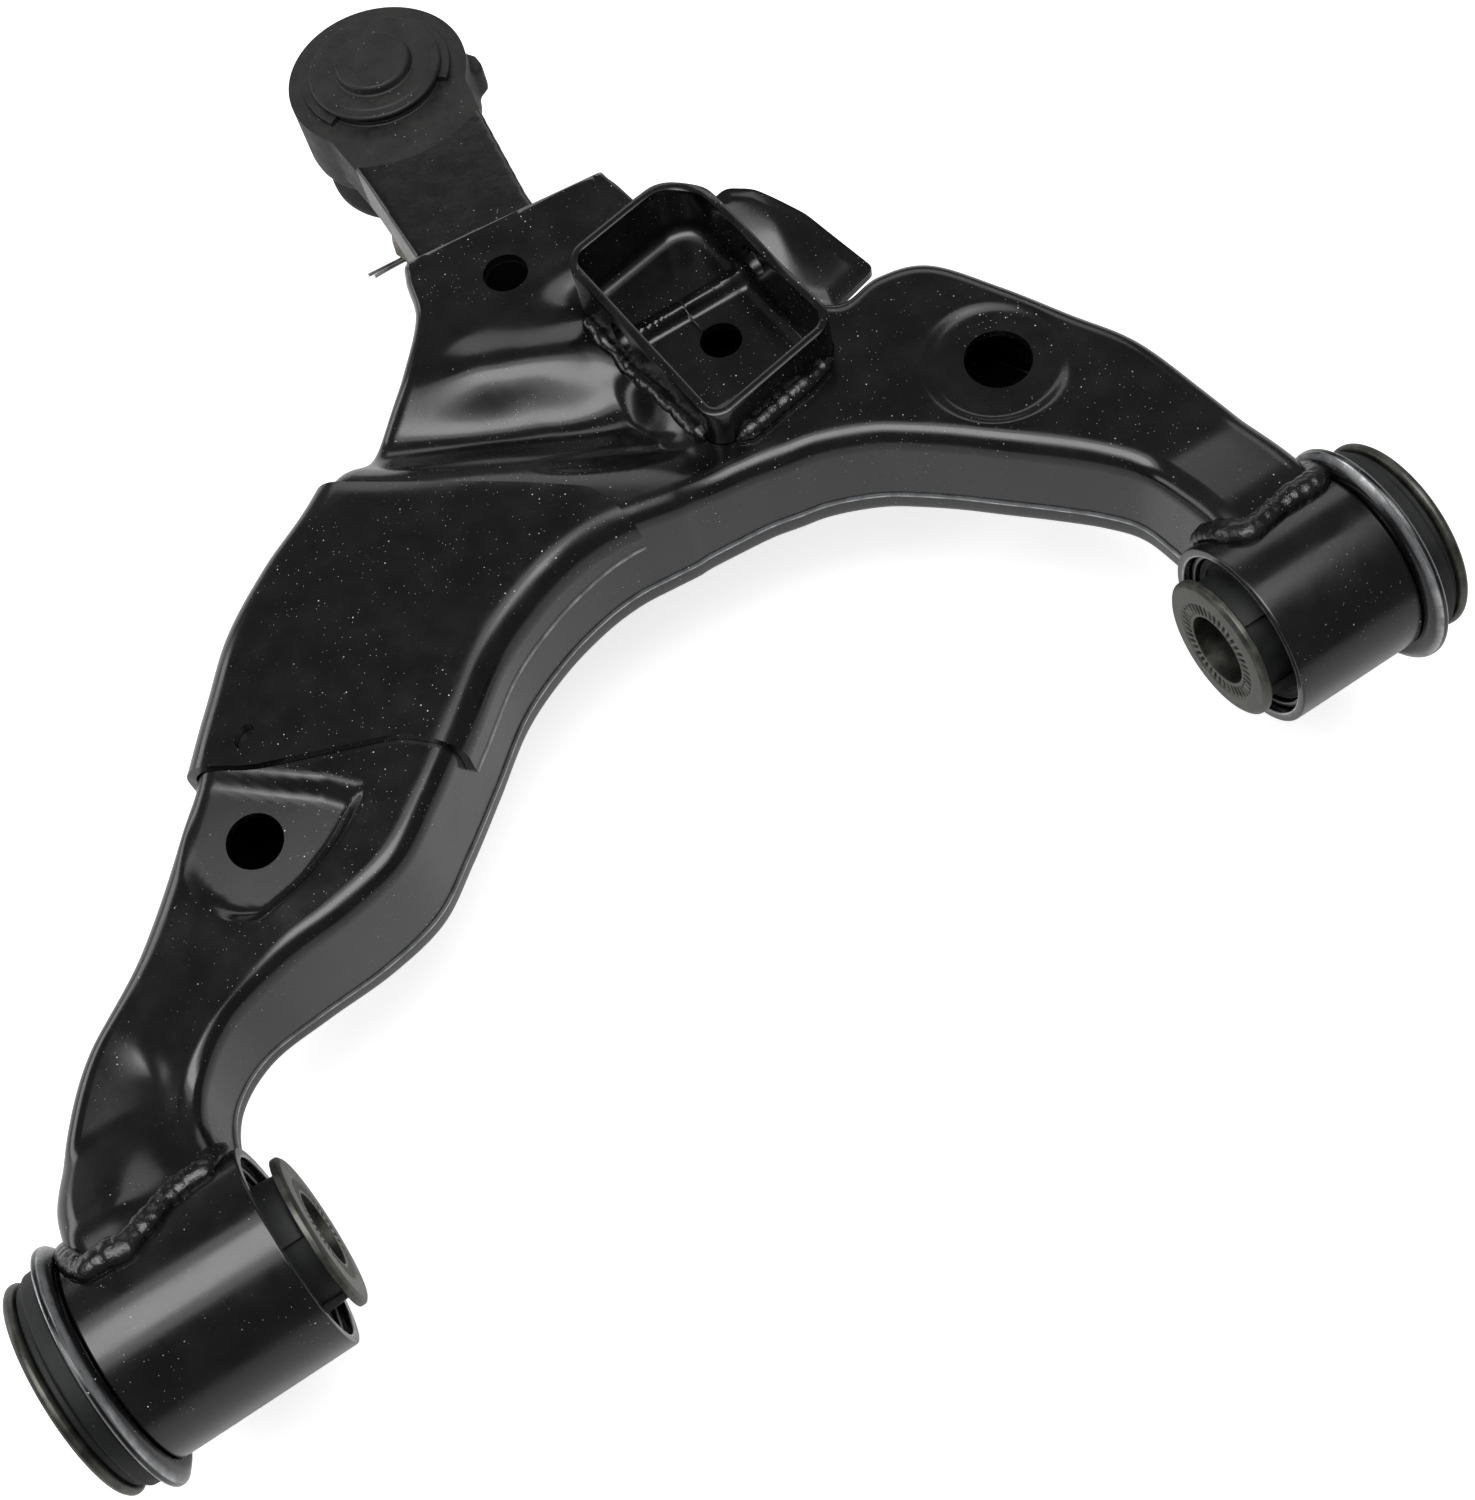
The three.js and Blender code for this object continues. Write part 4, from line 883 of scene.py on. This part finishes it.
def makeBush(side):
    size = bushes[side]
    radius, length, flange = size["radius"], size["length"], size["flange"]
    gap = arm["gap"]
    rim = radius + bushes["lip"]
    collarStart = length - bushes["collar"]
    sleeveOuter = radius - bushes["wall"] - gap
    sleeveInner = sleeveOuter - bushes["sleeveWall"]
    core = bushes["bore"] + bushes["coreWall"]
    # the worn corners below get a bare-steel colour painted on as highlight lines, at the tube's inner mouth
    # edge and at the collar's edges
    bushPiece("EyeTube", side, [
        (radius - bushes["wall"], 0), (radius, 0), (radius, collarStart - gap),
        (radius - bushes["wall"], collarStart - gap),
    ], 0.7, paint, node="eye_tube", segments=160, worn=[(radius - bushes["wall"] + 0.4, 0)])
    bushPiece("CollarSleeve", side, [
        (sleeveInner, 3), (sleeveOuter, 3), (sleeveOuter, collarStart), (rim - 4, collarStart),
        (rim, collarStart + 3.2), (rim, length), (sleeveInner, length),
    ], 1.5, paint, node="outer_sleeve", segments=160,
    worn=[(rim - 0.3, length - 0.3), (rim - 0.5, collarStart + 2.9)])
    rubberOuter, rubberInner = sleeveInner - gap, core + gap
    mouth = -bushes["standOff"] + bushes["flangeThick"] + gap
    profile = filleted([
        (rubberInner, mouth), (rubberInner + 5, mouth), (rubberInner + 6, 4), (rubberOuter - 2, 6),
        (rubberOuter, 4.5),
        (rubberOuter, length - 6), (rubberInner + 5, length - 3), (rubberInner, length - 3),
    ], 1.6)
    piece = solidFrom("BushRubber", alongX(turnedGrid(profile, 144), side), wrapRows=True)
    half, inner, outer = bushes["voidHalf"], rubberInner + 3, rubberOuter - 2.4
    for k in (0, 1):
        middle = math.radians(size["voidTurn"] + 180 * k)
        turn = np.linspace(middle - half, middle + half, 30)
        ring = np.stack([np.cos(turn), np.sin(turn)], -1)
        crescent = np.concatenate([ring * outer, ring[::-1] * inner])
        crescent = filleted(crescent, 0.8, steps=2)
        grid = np.array([np.column_stack([np.full(len(crescent), x), crescent]) for x in
                         (size["sign"] * (bushes["mouth"] - 12), size["sign"] * (bushes["mouth"] + length))])
        carve(piece, [solidFrom("cutter", grid)])
    finishPiece(piece, f"{side}BushRubber", rubber, "arm", [f"{side}_bush_rubber"])
    thrust = rim - bushes["thrustStep"]
    end = length + bushes["thrust"]
    bushPiece("ThrustRubber", side, [
        (rubberInner + 2, length + gap), (thrust - 1, length + gap), (thrust, length + 1.5),
        (thrust - 0.4, end - 3),
        (thrust - 2.6, end - 2.4), (thrust - 2.6, end), (rubberInner + 2, end),
    ], 0.7, rubber, node="thrust_rubber", segments=144)
    plateStart = end + gap
    plateEnd = plateStart + bushes["plate"]
    plateRadius = rim - bushes["plateStep"]
    metal = turnedSteel(f"turnedOxidisedSteel.{side}", (0, 0, 0), 0)
    bushPiece("EndPlate", side, [
        (core + gap, plateStart), (plateRadius - 1, plateStart), (plateRadius, plateStart + 1),
        (plateRadius, plateEnd - 1.2), (plateRadius - 1.2, plateEnd), (core + gap, plateEnd),
    ], 0.5, metal, f"{side}_core", node="end_plate", segments=144)
    # flange of the inner sleeve: a raised outer ring and radial teeth round the bore
    face = -bushes["standOff"]
    bore = bushes["bore"]
    profile = np.concatenate([
        filleted([(bore, face + 1.4), (bore + 1.3, face + 0.25), (bore + 2.0, face + 0.25)], 0.3,
                 False)[1:-1],
        np.stack([np.linspace(bore + 2.1, bore + 6.6, 12), np.full(12, face + 0.25)], -1),
        filleted([(bore + 6.6, face + 0.25), (bore + 7.4, face), (flange - 1.6, face + 0.1),
                  (flange, face + 1.2),
                  (flange, face + 3.2), (core, face + 3.2), (core, plateEnd), (bore + 0.8, plateEnd),
                  (bore, plateEnd - 0.8),
                  (bore, face + 1.4)], 0.5, False, 3)[1:-1],
    ])
    grid = turnedGrid(profile, 336)
    radial = np.hypot(grid[..., 0], grid[..., 1])
    angle = np.arctan2(grid[..., 1], grid[..., 0])
    tooth = smooth(-0.2, 0.5, np.sin(bushes["teeth"] * angle)) * smooth(bore + 2.2, bore + 2.9, radial)
    tooth = tooth * (1 - smooth(bore + 5.8, bore + 6.5, radial))
    grid[..., 2] += bushes["toothHeight"] * tooth * (grid[..., 2] < face + 0.6)
    piece = solidFrom("InnerSleeve", alongX(grid, side), wrapRows=True)
    finishPiece(piece, f"{side}InnerSleeve", metal, f"{side}_core", [f"{side}_inner_sleeve"])


for side in ("left", "right"):
    makeBush(side)
print("bushes done")

bead = {"ripples": 0.06, "lumps": 0.16}   # shares of the radius


def weldBead(name, path, radius, seed, flat=0.8, pitch=4.2):
    # a half-sunk bead: its section swells a little once per pitch, and by more in slow uneven lumps
    path = np.asarray(path, float)
    step = np.linalg.norm(np.diff(path, axis=0), axis=1)
    length = np.concatenate([[0], np.cumsum(step)])
    even = np.linspace(0, length[-1], int(length[-1] * 1.6) + 8)
    line = np.stack([np.interp(even, length, path[:, k]) for k in range(3)], -1)
    rand = np.random.default_rng(seed)
    knots = max(int(length[-1] / 6), 5)
    knot = np.linspace(0, length[-1], knots)
    wander = sum(h * np.exp(-(((even - k) / 3.2) ** 2)) for h, k in zip(rand.normal(0, 1, knots), knot))
    ripple = 1 + bead["ripples"] * np.abs(np.sin(np.pi * even / pitch)) + bead["lumps"] * np.tanh(wander)
    aside = np.cross(np.gradient(line, axis=0), (0, 0, 1))
    line = line + aside * (0.9 * np.tanh(np.roll(wander, 9)))[:, None]
    taper = np.sqrt(np.clip(np.minimum(even, length[-1] - even) / (1.3 * radius), 0.02, 1))
    section = circleSection(1.0, 20) * np.array([1.0, flat])
    return solidFrom(name, sweptGrid(line, section[None] * (radius * ripple * taper)[:, None, None]))


def makeEyeWeld(side, inner, outer, seed):
    sign = bushes[side]["sign"]
    rim = bushes[side]["radius"] + 1.6
    share = np.linspace(0, 1, 90)
    x = inner + (outer - inner) * share
    edge = np.minimum(share, 1 - share) * abs(outer - inner)
    crest = np.arcsin(np.clip((baseHeight(x, np.full_like(x, 30)) + 3.4) / rim, 0, 0.97))
    angle = crest * (0.2 + 0.8 * np.sqrt(1 - np.clip(1 - edge / 8, 0, 1) ** 2))
    path = np.stack([x, rim * np.cos(angle), rim * np.sin(angle)], -1)
    piece = weldBead("EyeWeld", path, 4.3, seed, 0.75)
    finishPiece(piece, f"{side}EyeWeld", weldPaint, "arm", [f"{side}_eye_weld"])


makeEyeWeld("left", -188, -242, 3)
makeEyeWeld("right", 190.5, 234, 5)
mouthX = np.linspace(34, 79, 40)
mouthLine = np.stack([mouthX, mouthEdge(mouthX) + 0.9, np.full(40, 18.3)], -1)
finishPiece(weldBead("noseWeld", mouthLine, 1.7, 9, 0.7, 3.0), "noseWeld", weldPaint, "arm", ["nose_weld"])
leftSide = skewed(np.full(60, -cup["width"] / 2 - 0.8), np.linspace(-40, 40, 60))
nearSide = skewed(np.linspace(-22, 24, 40), np.full(40, -cup["length"] / 2 - 0.8))
for name, line, radius, seed in (("cupSideWeld", leftSide, 3.0, 11), ("cupNearWeld", nearSide, 3.6, 12)):
    path = np.column_stack([line, pressedHeight(line[:, 0], line[:, 1]) + 0.8])
    finishPiece(weldBead(name, path, radius, seed, 1.0, 5.0), name, weldPaint, "arm")
print("welds done")

ball = {
    "x": 64.3, "y": 398.5, "z": -2, "radius": 14, "housing": 26.7, "forged": 36.3, "forgedBottom": -13,
    "spotFace": 15.4,
    "strapTop": 17.9, "strapDepth": 25, "spotRadius": 49.5, "strapHole": (55, 274, 8.2), "lean": 4,
}
forging = phosphatedForging()


def toBall(grid):
    return grid + np.array([ball["x"], ball["y"], 0])


def jointSteel(name):
    return turnedSteel(name, (ball["x"], ball["y"], 0), 2)


def jointBody(name, profile, segments):
    # turned about the joint's axis from a profile that starts and ends on it
    return solidFrom(name, toBall(turnedGrid(profile, segments)), wrapRows=True, wrapColumns=False)


def leaned(grid, share=1.0):
    # turned about the ball centre by the lean of the stud, wholly or in part
    angle = np.radians(ball["lean"]) * share
    x, y, z = grid[..., 0], grid[..., 1], grid[..., 2] - ball["z"]
    return np.stack([x * np.cos(angle) + z * np.sin(angle), y,
                     ball["z"] + z * np.cos(angle) - x * np.sin(angle)], -1)


def makeForging():
    x, y = ball["x"], ball["y"]
    eye = rodBody(ball["forged"], ball["forgedBottom"], ball["spotFace"] + 6, 2, (x, y, 0), 120)
    outline = [(32, 258), (81, 258), (81, 304), (x + 24, y - 42), (x + 32, y), (x - 32, y), (x - 30, y - 44),
               (32, 304)]
    strap = prismBody(filleted(outline, 6), ball["strapTop"] - ball["strapDepth"], ball["strapTop"])
    lug = prismBody(filleted([(x + 30, y - 16), (x + 39.5, y - 14), (x + 39.5, y - 3), (x + 30, y)], 3.5), -8,
                    5)
    carve(eye, [strap, lug], "UNION")
    skin = eye.modifiers.new("skin", "REMESH")
    skin.mode, skin.voxel_size = "VOXEL", 0.0011
    soft = eye.modifiers.new("soft", "SMOOTH")
    soft.factor, soft.iterations = 0.5, 8
    settle(eye)
    face, seat = ball["spotFace"], ball["spotRadius"]
    spot = filleted([(0, face), (seat, face), (seat, 34), (0, 34)], 0.6, False)
    bore = rodBody(ball["housing"] + 0.3, -40, 60, 2, (x, y, 0), 128)
    carve(eye, [jointBody("cutter", spot, 128), bore, drill(ball["strapHole"], -30, 40)])
    finishPiece(eye, "forgedNose", forging, stands=["nose_forging"], sharp=42)


def makeHousing():
    h = ball["housing"]
    groove = h - 2.3
    # radius and height, from the cap's middle down the outside and back up inside
    profile = filleted([
        (0, 24), (14.2, 24), (15, 23.2), (15.6, 20.5), (h - 4.4, 20.5), (h - 3.6, 20.1), (h - 0.7, 20.1),
        (h, 19.4),
        (h, 18.2), (h - 2, 18.2), (h - 2, 15.4), (h, 15.4), (h, -13.3), (h + 4.8, -13.3), (h + 4.8, -17.3),
        (groove + 1.6, -18.3), (groove + 1.6, -20.3), (groove, -20.9), (groove, -24.3), (groove + 1.6, -24.9),
        (groove + 1.1, -27.3), (21.4, -27.3), (15.2, -14.2), (15.2, -13.8), (20, -13.8), (20, 16.2),
        (0, 16.2),
    ], 0.8, False)
    piece = jointBody("ballHousing", profile, 128)
    finishPiece(piece, "ballHousing", forging, "arm", ["ball_housing"])
    # the ring is open over an arc of 0.95 radians each side of its mouth
    turn = np.linspace(-1.75 + 0.95, -1.75 + 2 * math.pi - 0.95, 150)
    inner, outer = h - 1.7, h + 3.3
    section = filleted([(inner, 15.75), (outer, 15.75), (outer, 17.85), (inner, 17.85)], 0.5, steps=3)
    r, z = section.T
    grid = np.stack([r * np.cos(turn)[:, None], r * np.sin(turn)[:, None], z + 0 * turn[:, None]], -1)
    finishPiece(solidFrom("snapRing", toBall(grid)), "snapRing", forging, "arm", ["snap_ring"])


stud = {"neck": 8.5, "taperTop": -38, "taperLength": 28, "thread": 8.9, "pitch": 1.5, "end": -97,
        "nutFlats": 27,
        "nutTop": -71, "nutHeight": 17, "pin": 1.6}


def makeStud():
    thread, end = stud["thread"], stud["end"]
    taperEnd = stud["taperTop"] - stud["taperLength"]
    neckTurn = math.asin(stud["neck"] / ball["radius"])
    polar = np.linspace(neckTurn, math.radians(150), 26)
    sphere = np.stack([ball["radius"] * np.sin(polar), ball["z"] - ball["radius"] * np.cos(polar)], -1)
    low = filleted([(0, end), (thread - 1.2, end), (thread - 0.2, end + 1.2), (thread - 0.2, end + 3)], 0.4,
                   False)
    threads = np.stack([np.full(190, thread - 0.2), np.linspace(end + 3.1, taperEnd - 4, 190)], -1)
    high = filleted([(thread - 0.2, taperEnd - 3.8), (thread + 0.1, taperEnd), (10.4, stud["taperTop"]),
                     (10.4, stud["taperTop"] + 1),
                     (stud["neck"], stud["taperTop"] + 3), tuple(sphere[0])], 0.8, False)
    profile = np.concatenate([low, threads, high, sphere[1:], [(0, sphere[-1][1])]])
    grid = turnedGrid(profile, 96)
    # the thread: a sawtooth that climbs one pitch a turn, cut only between the tip and the taper
    angle = around(96)[:, None]
    wave = np.abs(((grid[..., 2] / stud["pitch"] - angle / (2 * np.pi)) % 1) - 0.5) * 2
    mask = smooth(end + 1.5, end + 4, grid[..., 2]) * (1 - smooth(taperEnd - 7, taperEnd - 4, grid[..., 2]))
    grid[..., :2] *= (1 - 0.075 * wave * mask)[..., None]
    piece = solidFrom("ballStud", toBall(leaned(grid)), wrapRows=True, wrapColumns=False)
    pinZ = stud["nutTop"] - stud["nutHeight"] + 3.5
    ring = circleSection(stud["pin"] + 0.3, 24)
    hole = np.array([np.column_stack([np.full(24, x), ring[:, 0], ring[:, 1] + pinZ]) for x in (-20.0, 20.0)])
    carve(piece, [solidFrom("cutter", toBall(leaned(hole)))])
    finishPiece(piece, "ballStud", jointSteel("groundStudSteel"), "stud", ["ball_stud"], 40)
    return pinZ


def makeNut(pinZ):
    top, height, flats = stud["nutTop"], stud["nutHeight"], stud["nutFlats"]
    corner = flats / math.sqrt(3)
    foot = top - height + 7
    hexagon = filleted([(corner * math.cos(k * math.pi / 3),
                         corner * math.sin(k * math.pi / 3)) for k in range(6)], 0.8)
    rings = np.array([ringAt(hexagon, z) for z in (foot, top)])
    nut = solidFrom("castleNut", toBall(rings))
    chamfer = [(0, foot - 1), (corner - 2.6, foot - 1), (corner + 0.6, foot + 2.2), (corner + 0.6, top - 1.8),
               (corner - 1.6, top + 0.6), (0, top + 0.6)]
    carve(nut, [jointBody("cutter", chamfer, 96)], "INTERSECT")
    crownRadius = flats / 2 - 0.7
    crown = filleted([(0, top - height), (crownRadius - 1, top - height), (crownRadius, top - height + 1),
                      (crownRadius, foot + 1), (0, foot + 1)], 0.6, False)
    carve(nut, [jointBody("cutter", crown, 96)], "UNION")
    cutters = [rodBody(stud["thread"] + 0.3, -120, -50, 2, (ball["x"], ball["y"], 0), 96)]
    slotTop = pinZ + stud["pin"] + 0.6
    for k in range(3):
        a = k * math.pi / 3
        box = np.array([(-22, -2.1), (22, -2.1), (22, 2.1),
                        (-22, 2.1)]) @ np.array([[math.cos(a), math.sin(a)], [-math.sin(a), math.cos(a)]])
        cutters.append(prismBody(box + np.array([ball["x"], ball["y"]]), -120, slotTop))
    carve(nut, cutters)
    # it was made upright; now it leans with the stud
    local = pointsOf(nut) - toBall(np.zeros(3))
    nut.data.vertices.foreach_set("co", ((toBall(leaned(local))) / 1000 + axisMiddle).ravel())
    finishPiece(nut, "castleNut", jointSteel("dullZincPlate"), "stud", ["castle_nut"])


def makePin(pinZ):
    # one wire bent double: out along one leg, round the eye, and back along the other
    turn = np.linspace(-2.55, 2.55, 40)
    eye = np.stack([17.9 + 2.7 * np.cos(turn[::-1]), np.zeros(40), 2.7 * np.sin(turn[::-1])], -1)

    def leg(start, end, height, spread):
        # level to 12 mm out, then bent away by `spread` times the distance squared
        x = np.linspace(start, end, 60)
        return np.stack([x, np.zeros(60), height + spread * np.clip(-x - 12, 0, 99) ** 2], -1)

    wire = np.concatenate([leg(-30, 14.5, 0.82, 0.0006), eye, leg(14.5, -27.5, -0.82, -0.003)])
    path = wire + np.array([0, 0, pinZ])
    piece = solidFrom("splitPin", toBall(leaned(sweptGrid(path, circleSection(0.78, 12), (0, 1, 0)))))
    finishPiece(piece, "splitPin", jointSteel("groundStudSteel.pin"), "stud", ["cotter_pin"],
                60)


def makeBoot():
    groove = ball["housing"] - 2.3
    seat = -22.6
    bulge = groove + 8.6
    lip, lipZ = 10.7, stud["taperTop"] + 0.5
    profile = filleted([
        # down the inside from the clamped rim, and back up the outside
        (groove + 0.3, seat + 1.4), (groove + 0.3, seat - 1.4), (groove + 2, seat - 2.4),
        (bulge - 1.8, seat - 6), (bulge - 4, seat - 11),
        (18, seat - 14), (lip, lipZ - 4.5), (lip, lipZ - 8), (lip + 2.4, lipZ - 8), (lip + 1.9, lipZ - 5),
        (19.5, seat - 15.8), (bulge - 2, seat - 12.3), (bulge, seat - 6), (groove + 3.6, seat - 1.4),
        (groove + 2.7, seat), (groove + 2.3, seat + 1.4),
    ], 2.2, steps=5)
    grid = turnedGrid(profile, 128)
    share = smooth(-(seat - 4), -(lipZ - 1), -grid[..., 2])
    piece = solidFrom("dustBoot", toBall(leaned(grid, share)), wrapRows=True)
    finishPiece(piece, "dustBoot", rubber, None, ["boot"], 50)
    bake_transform(piece)
    for name, radius, z, thick, body, node, leaning in (
            ("bootClipLarge", groove + 4.2, seat + 1.2, 0.8, "arm", "boot_ring_large", False),
            ("bootClipSmall", lip + 3.3, lipZ - 6.6, 0.7, "stud_yoke", "boot_ring_small", True)):
        turn = np.linspace(0, 4 * math.pi, 260)
        line = np.stack([radius * np.cos(turn), radius * np.sin(turn),
                         z + thick * (turn / (2 * math.pi) - 1)], -1)
        wire = sweptGrid(line, circleSection(thick * 0.52, 10))
        piece = solidFrom(name, toBall(leaned(wire) if leaning else wire))
        finishPiece(piece, name, jointSteel(f"groundStudSteel.{name}"), body, [node], 60)


makeForging()
makeHousing()
pinHeight = makeStud()
makeNut(pinHeight)
makePin(pinHeight)
makeBoot()
nodes["ball_seat"].data.materials.clear()
nodes["ball_seat"].data.materials.append(acetalSeat())
print("ball joint done")
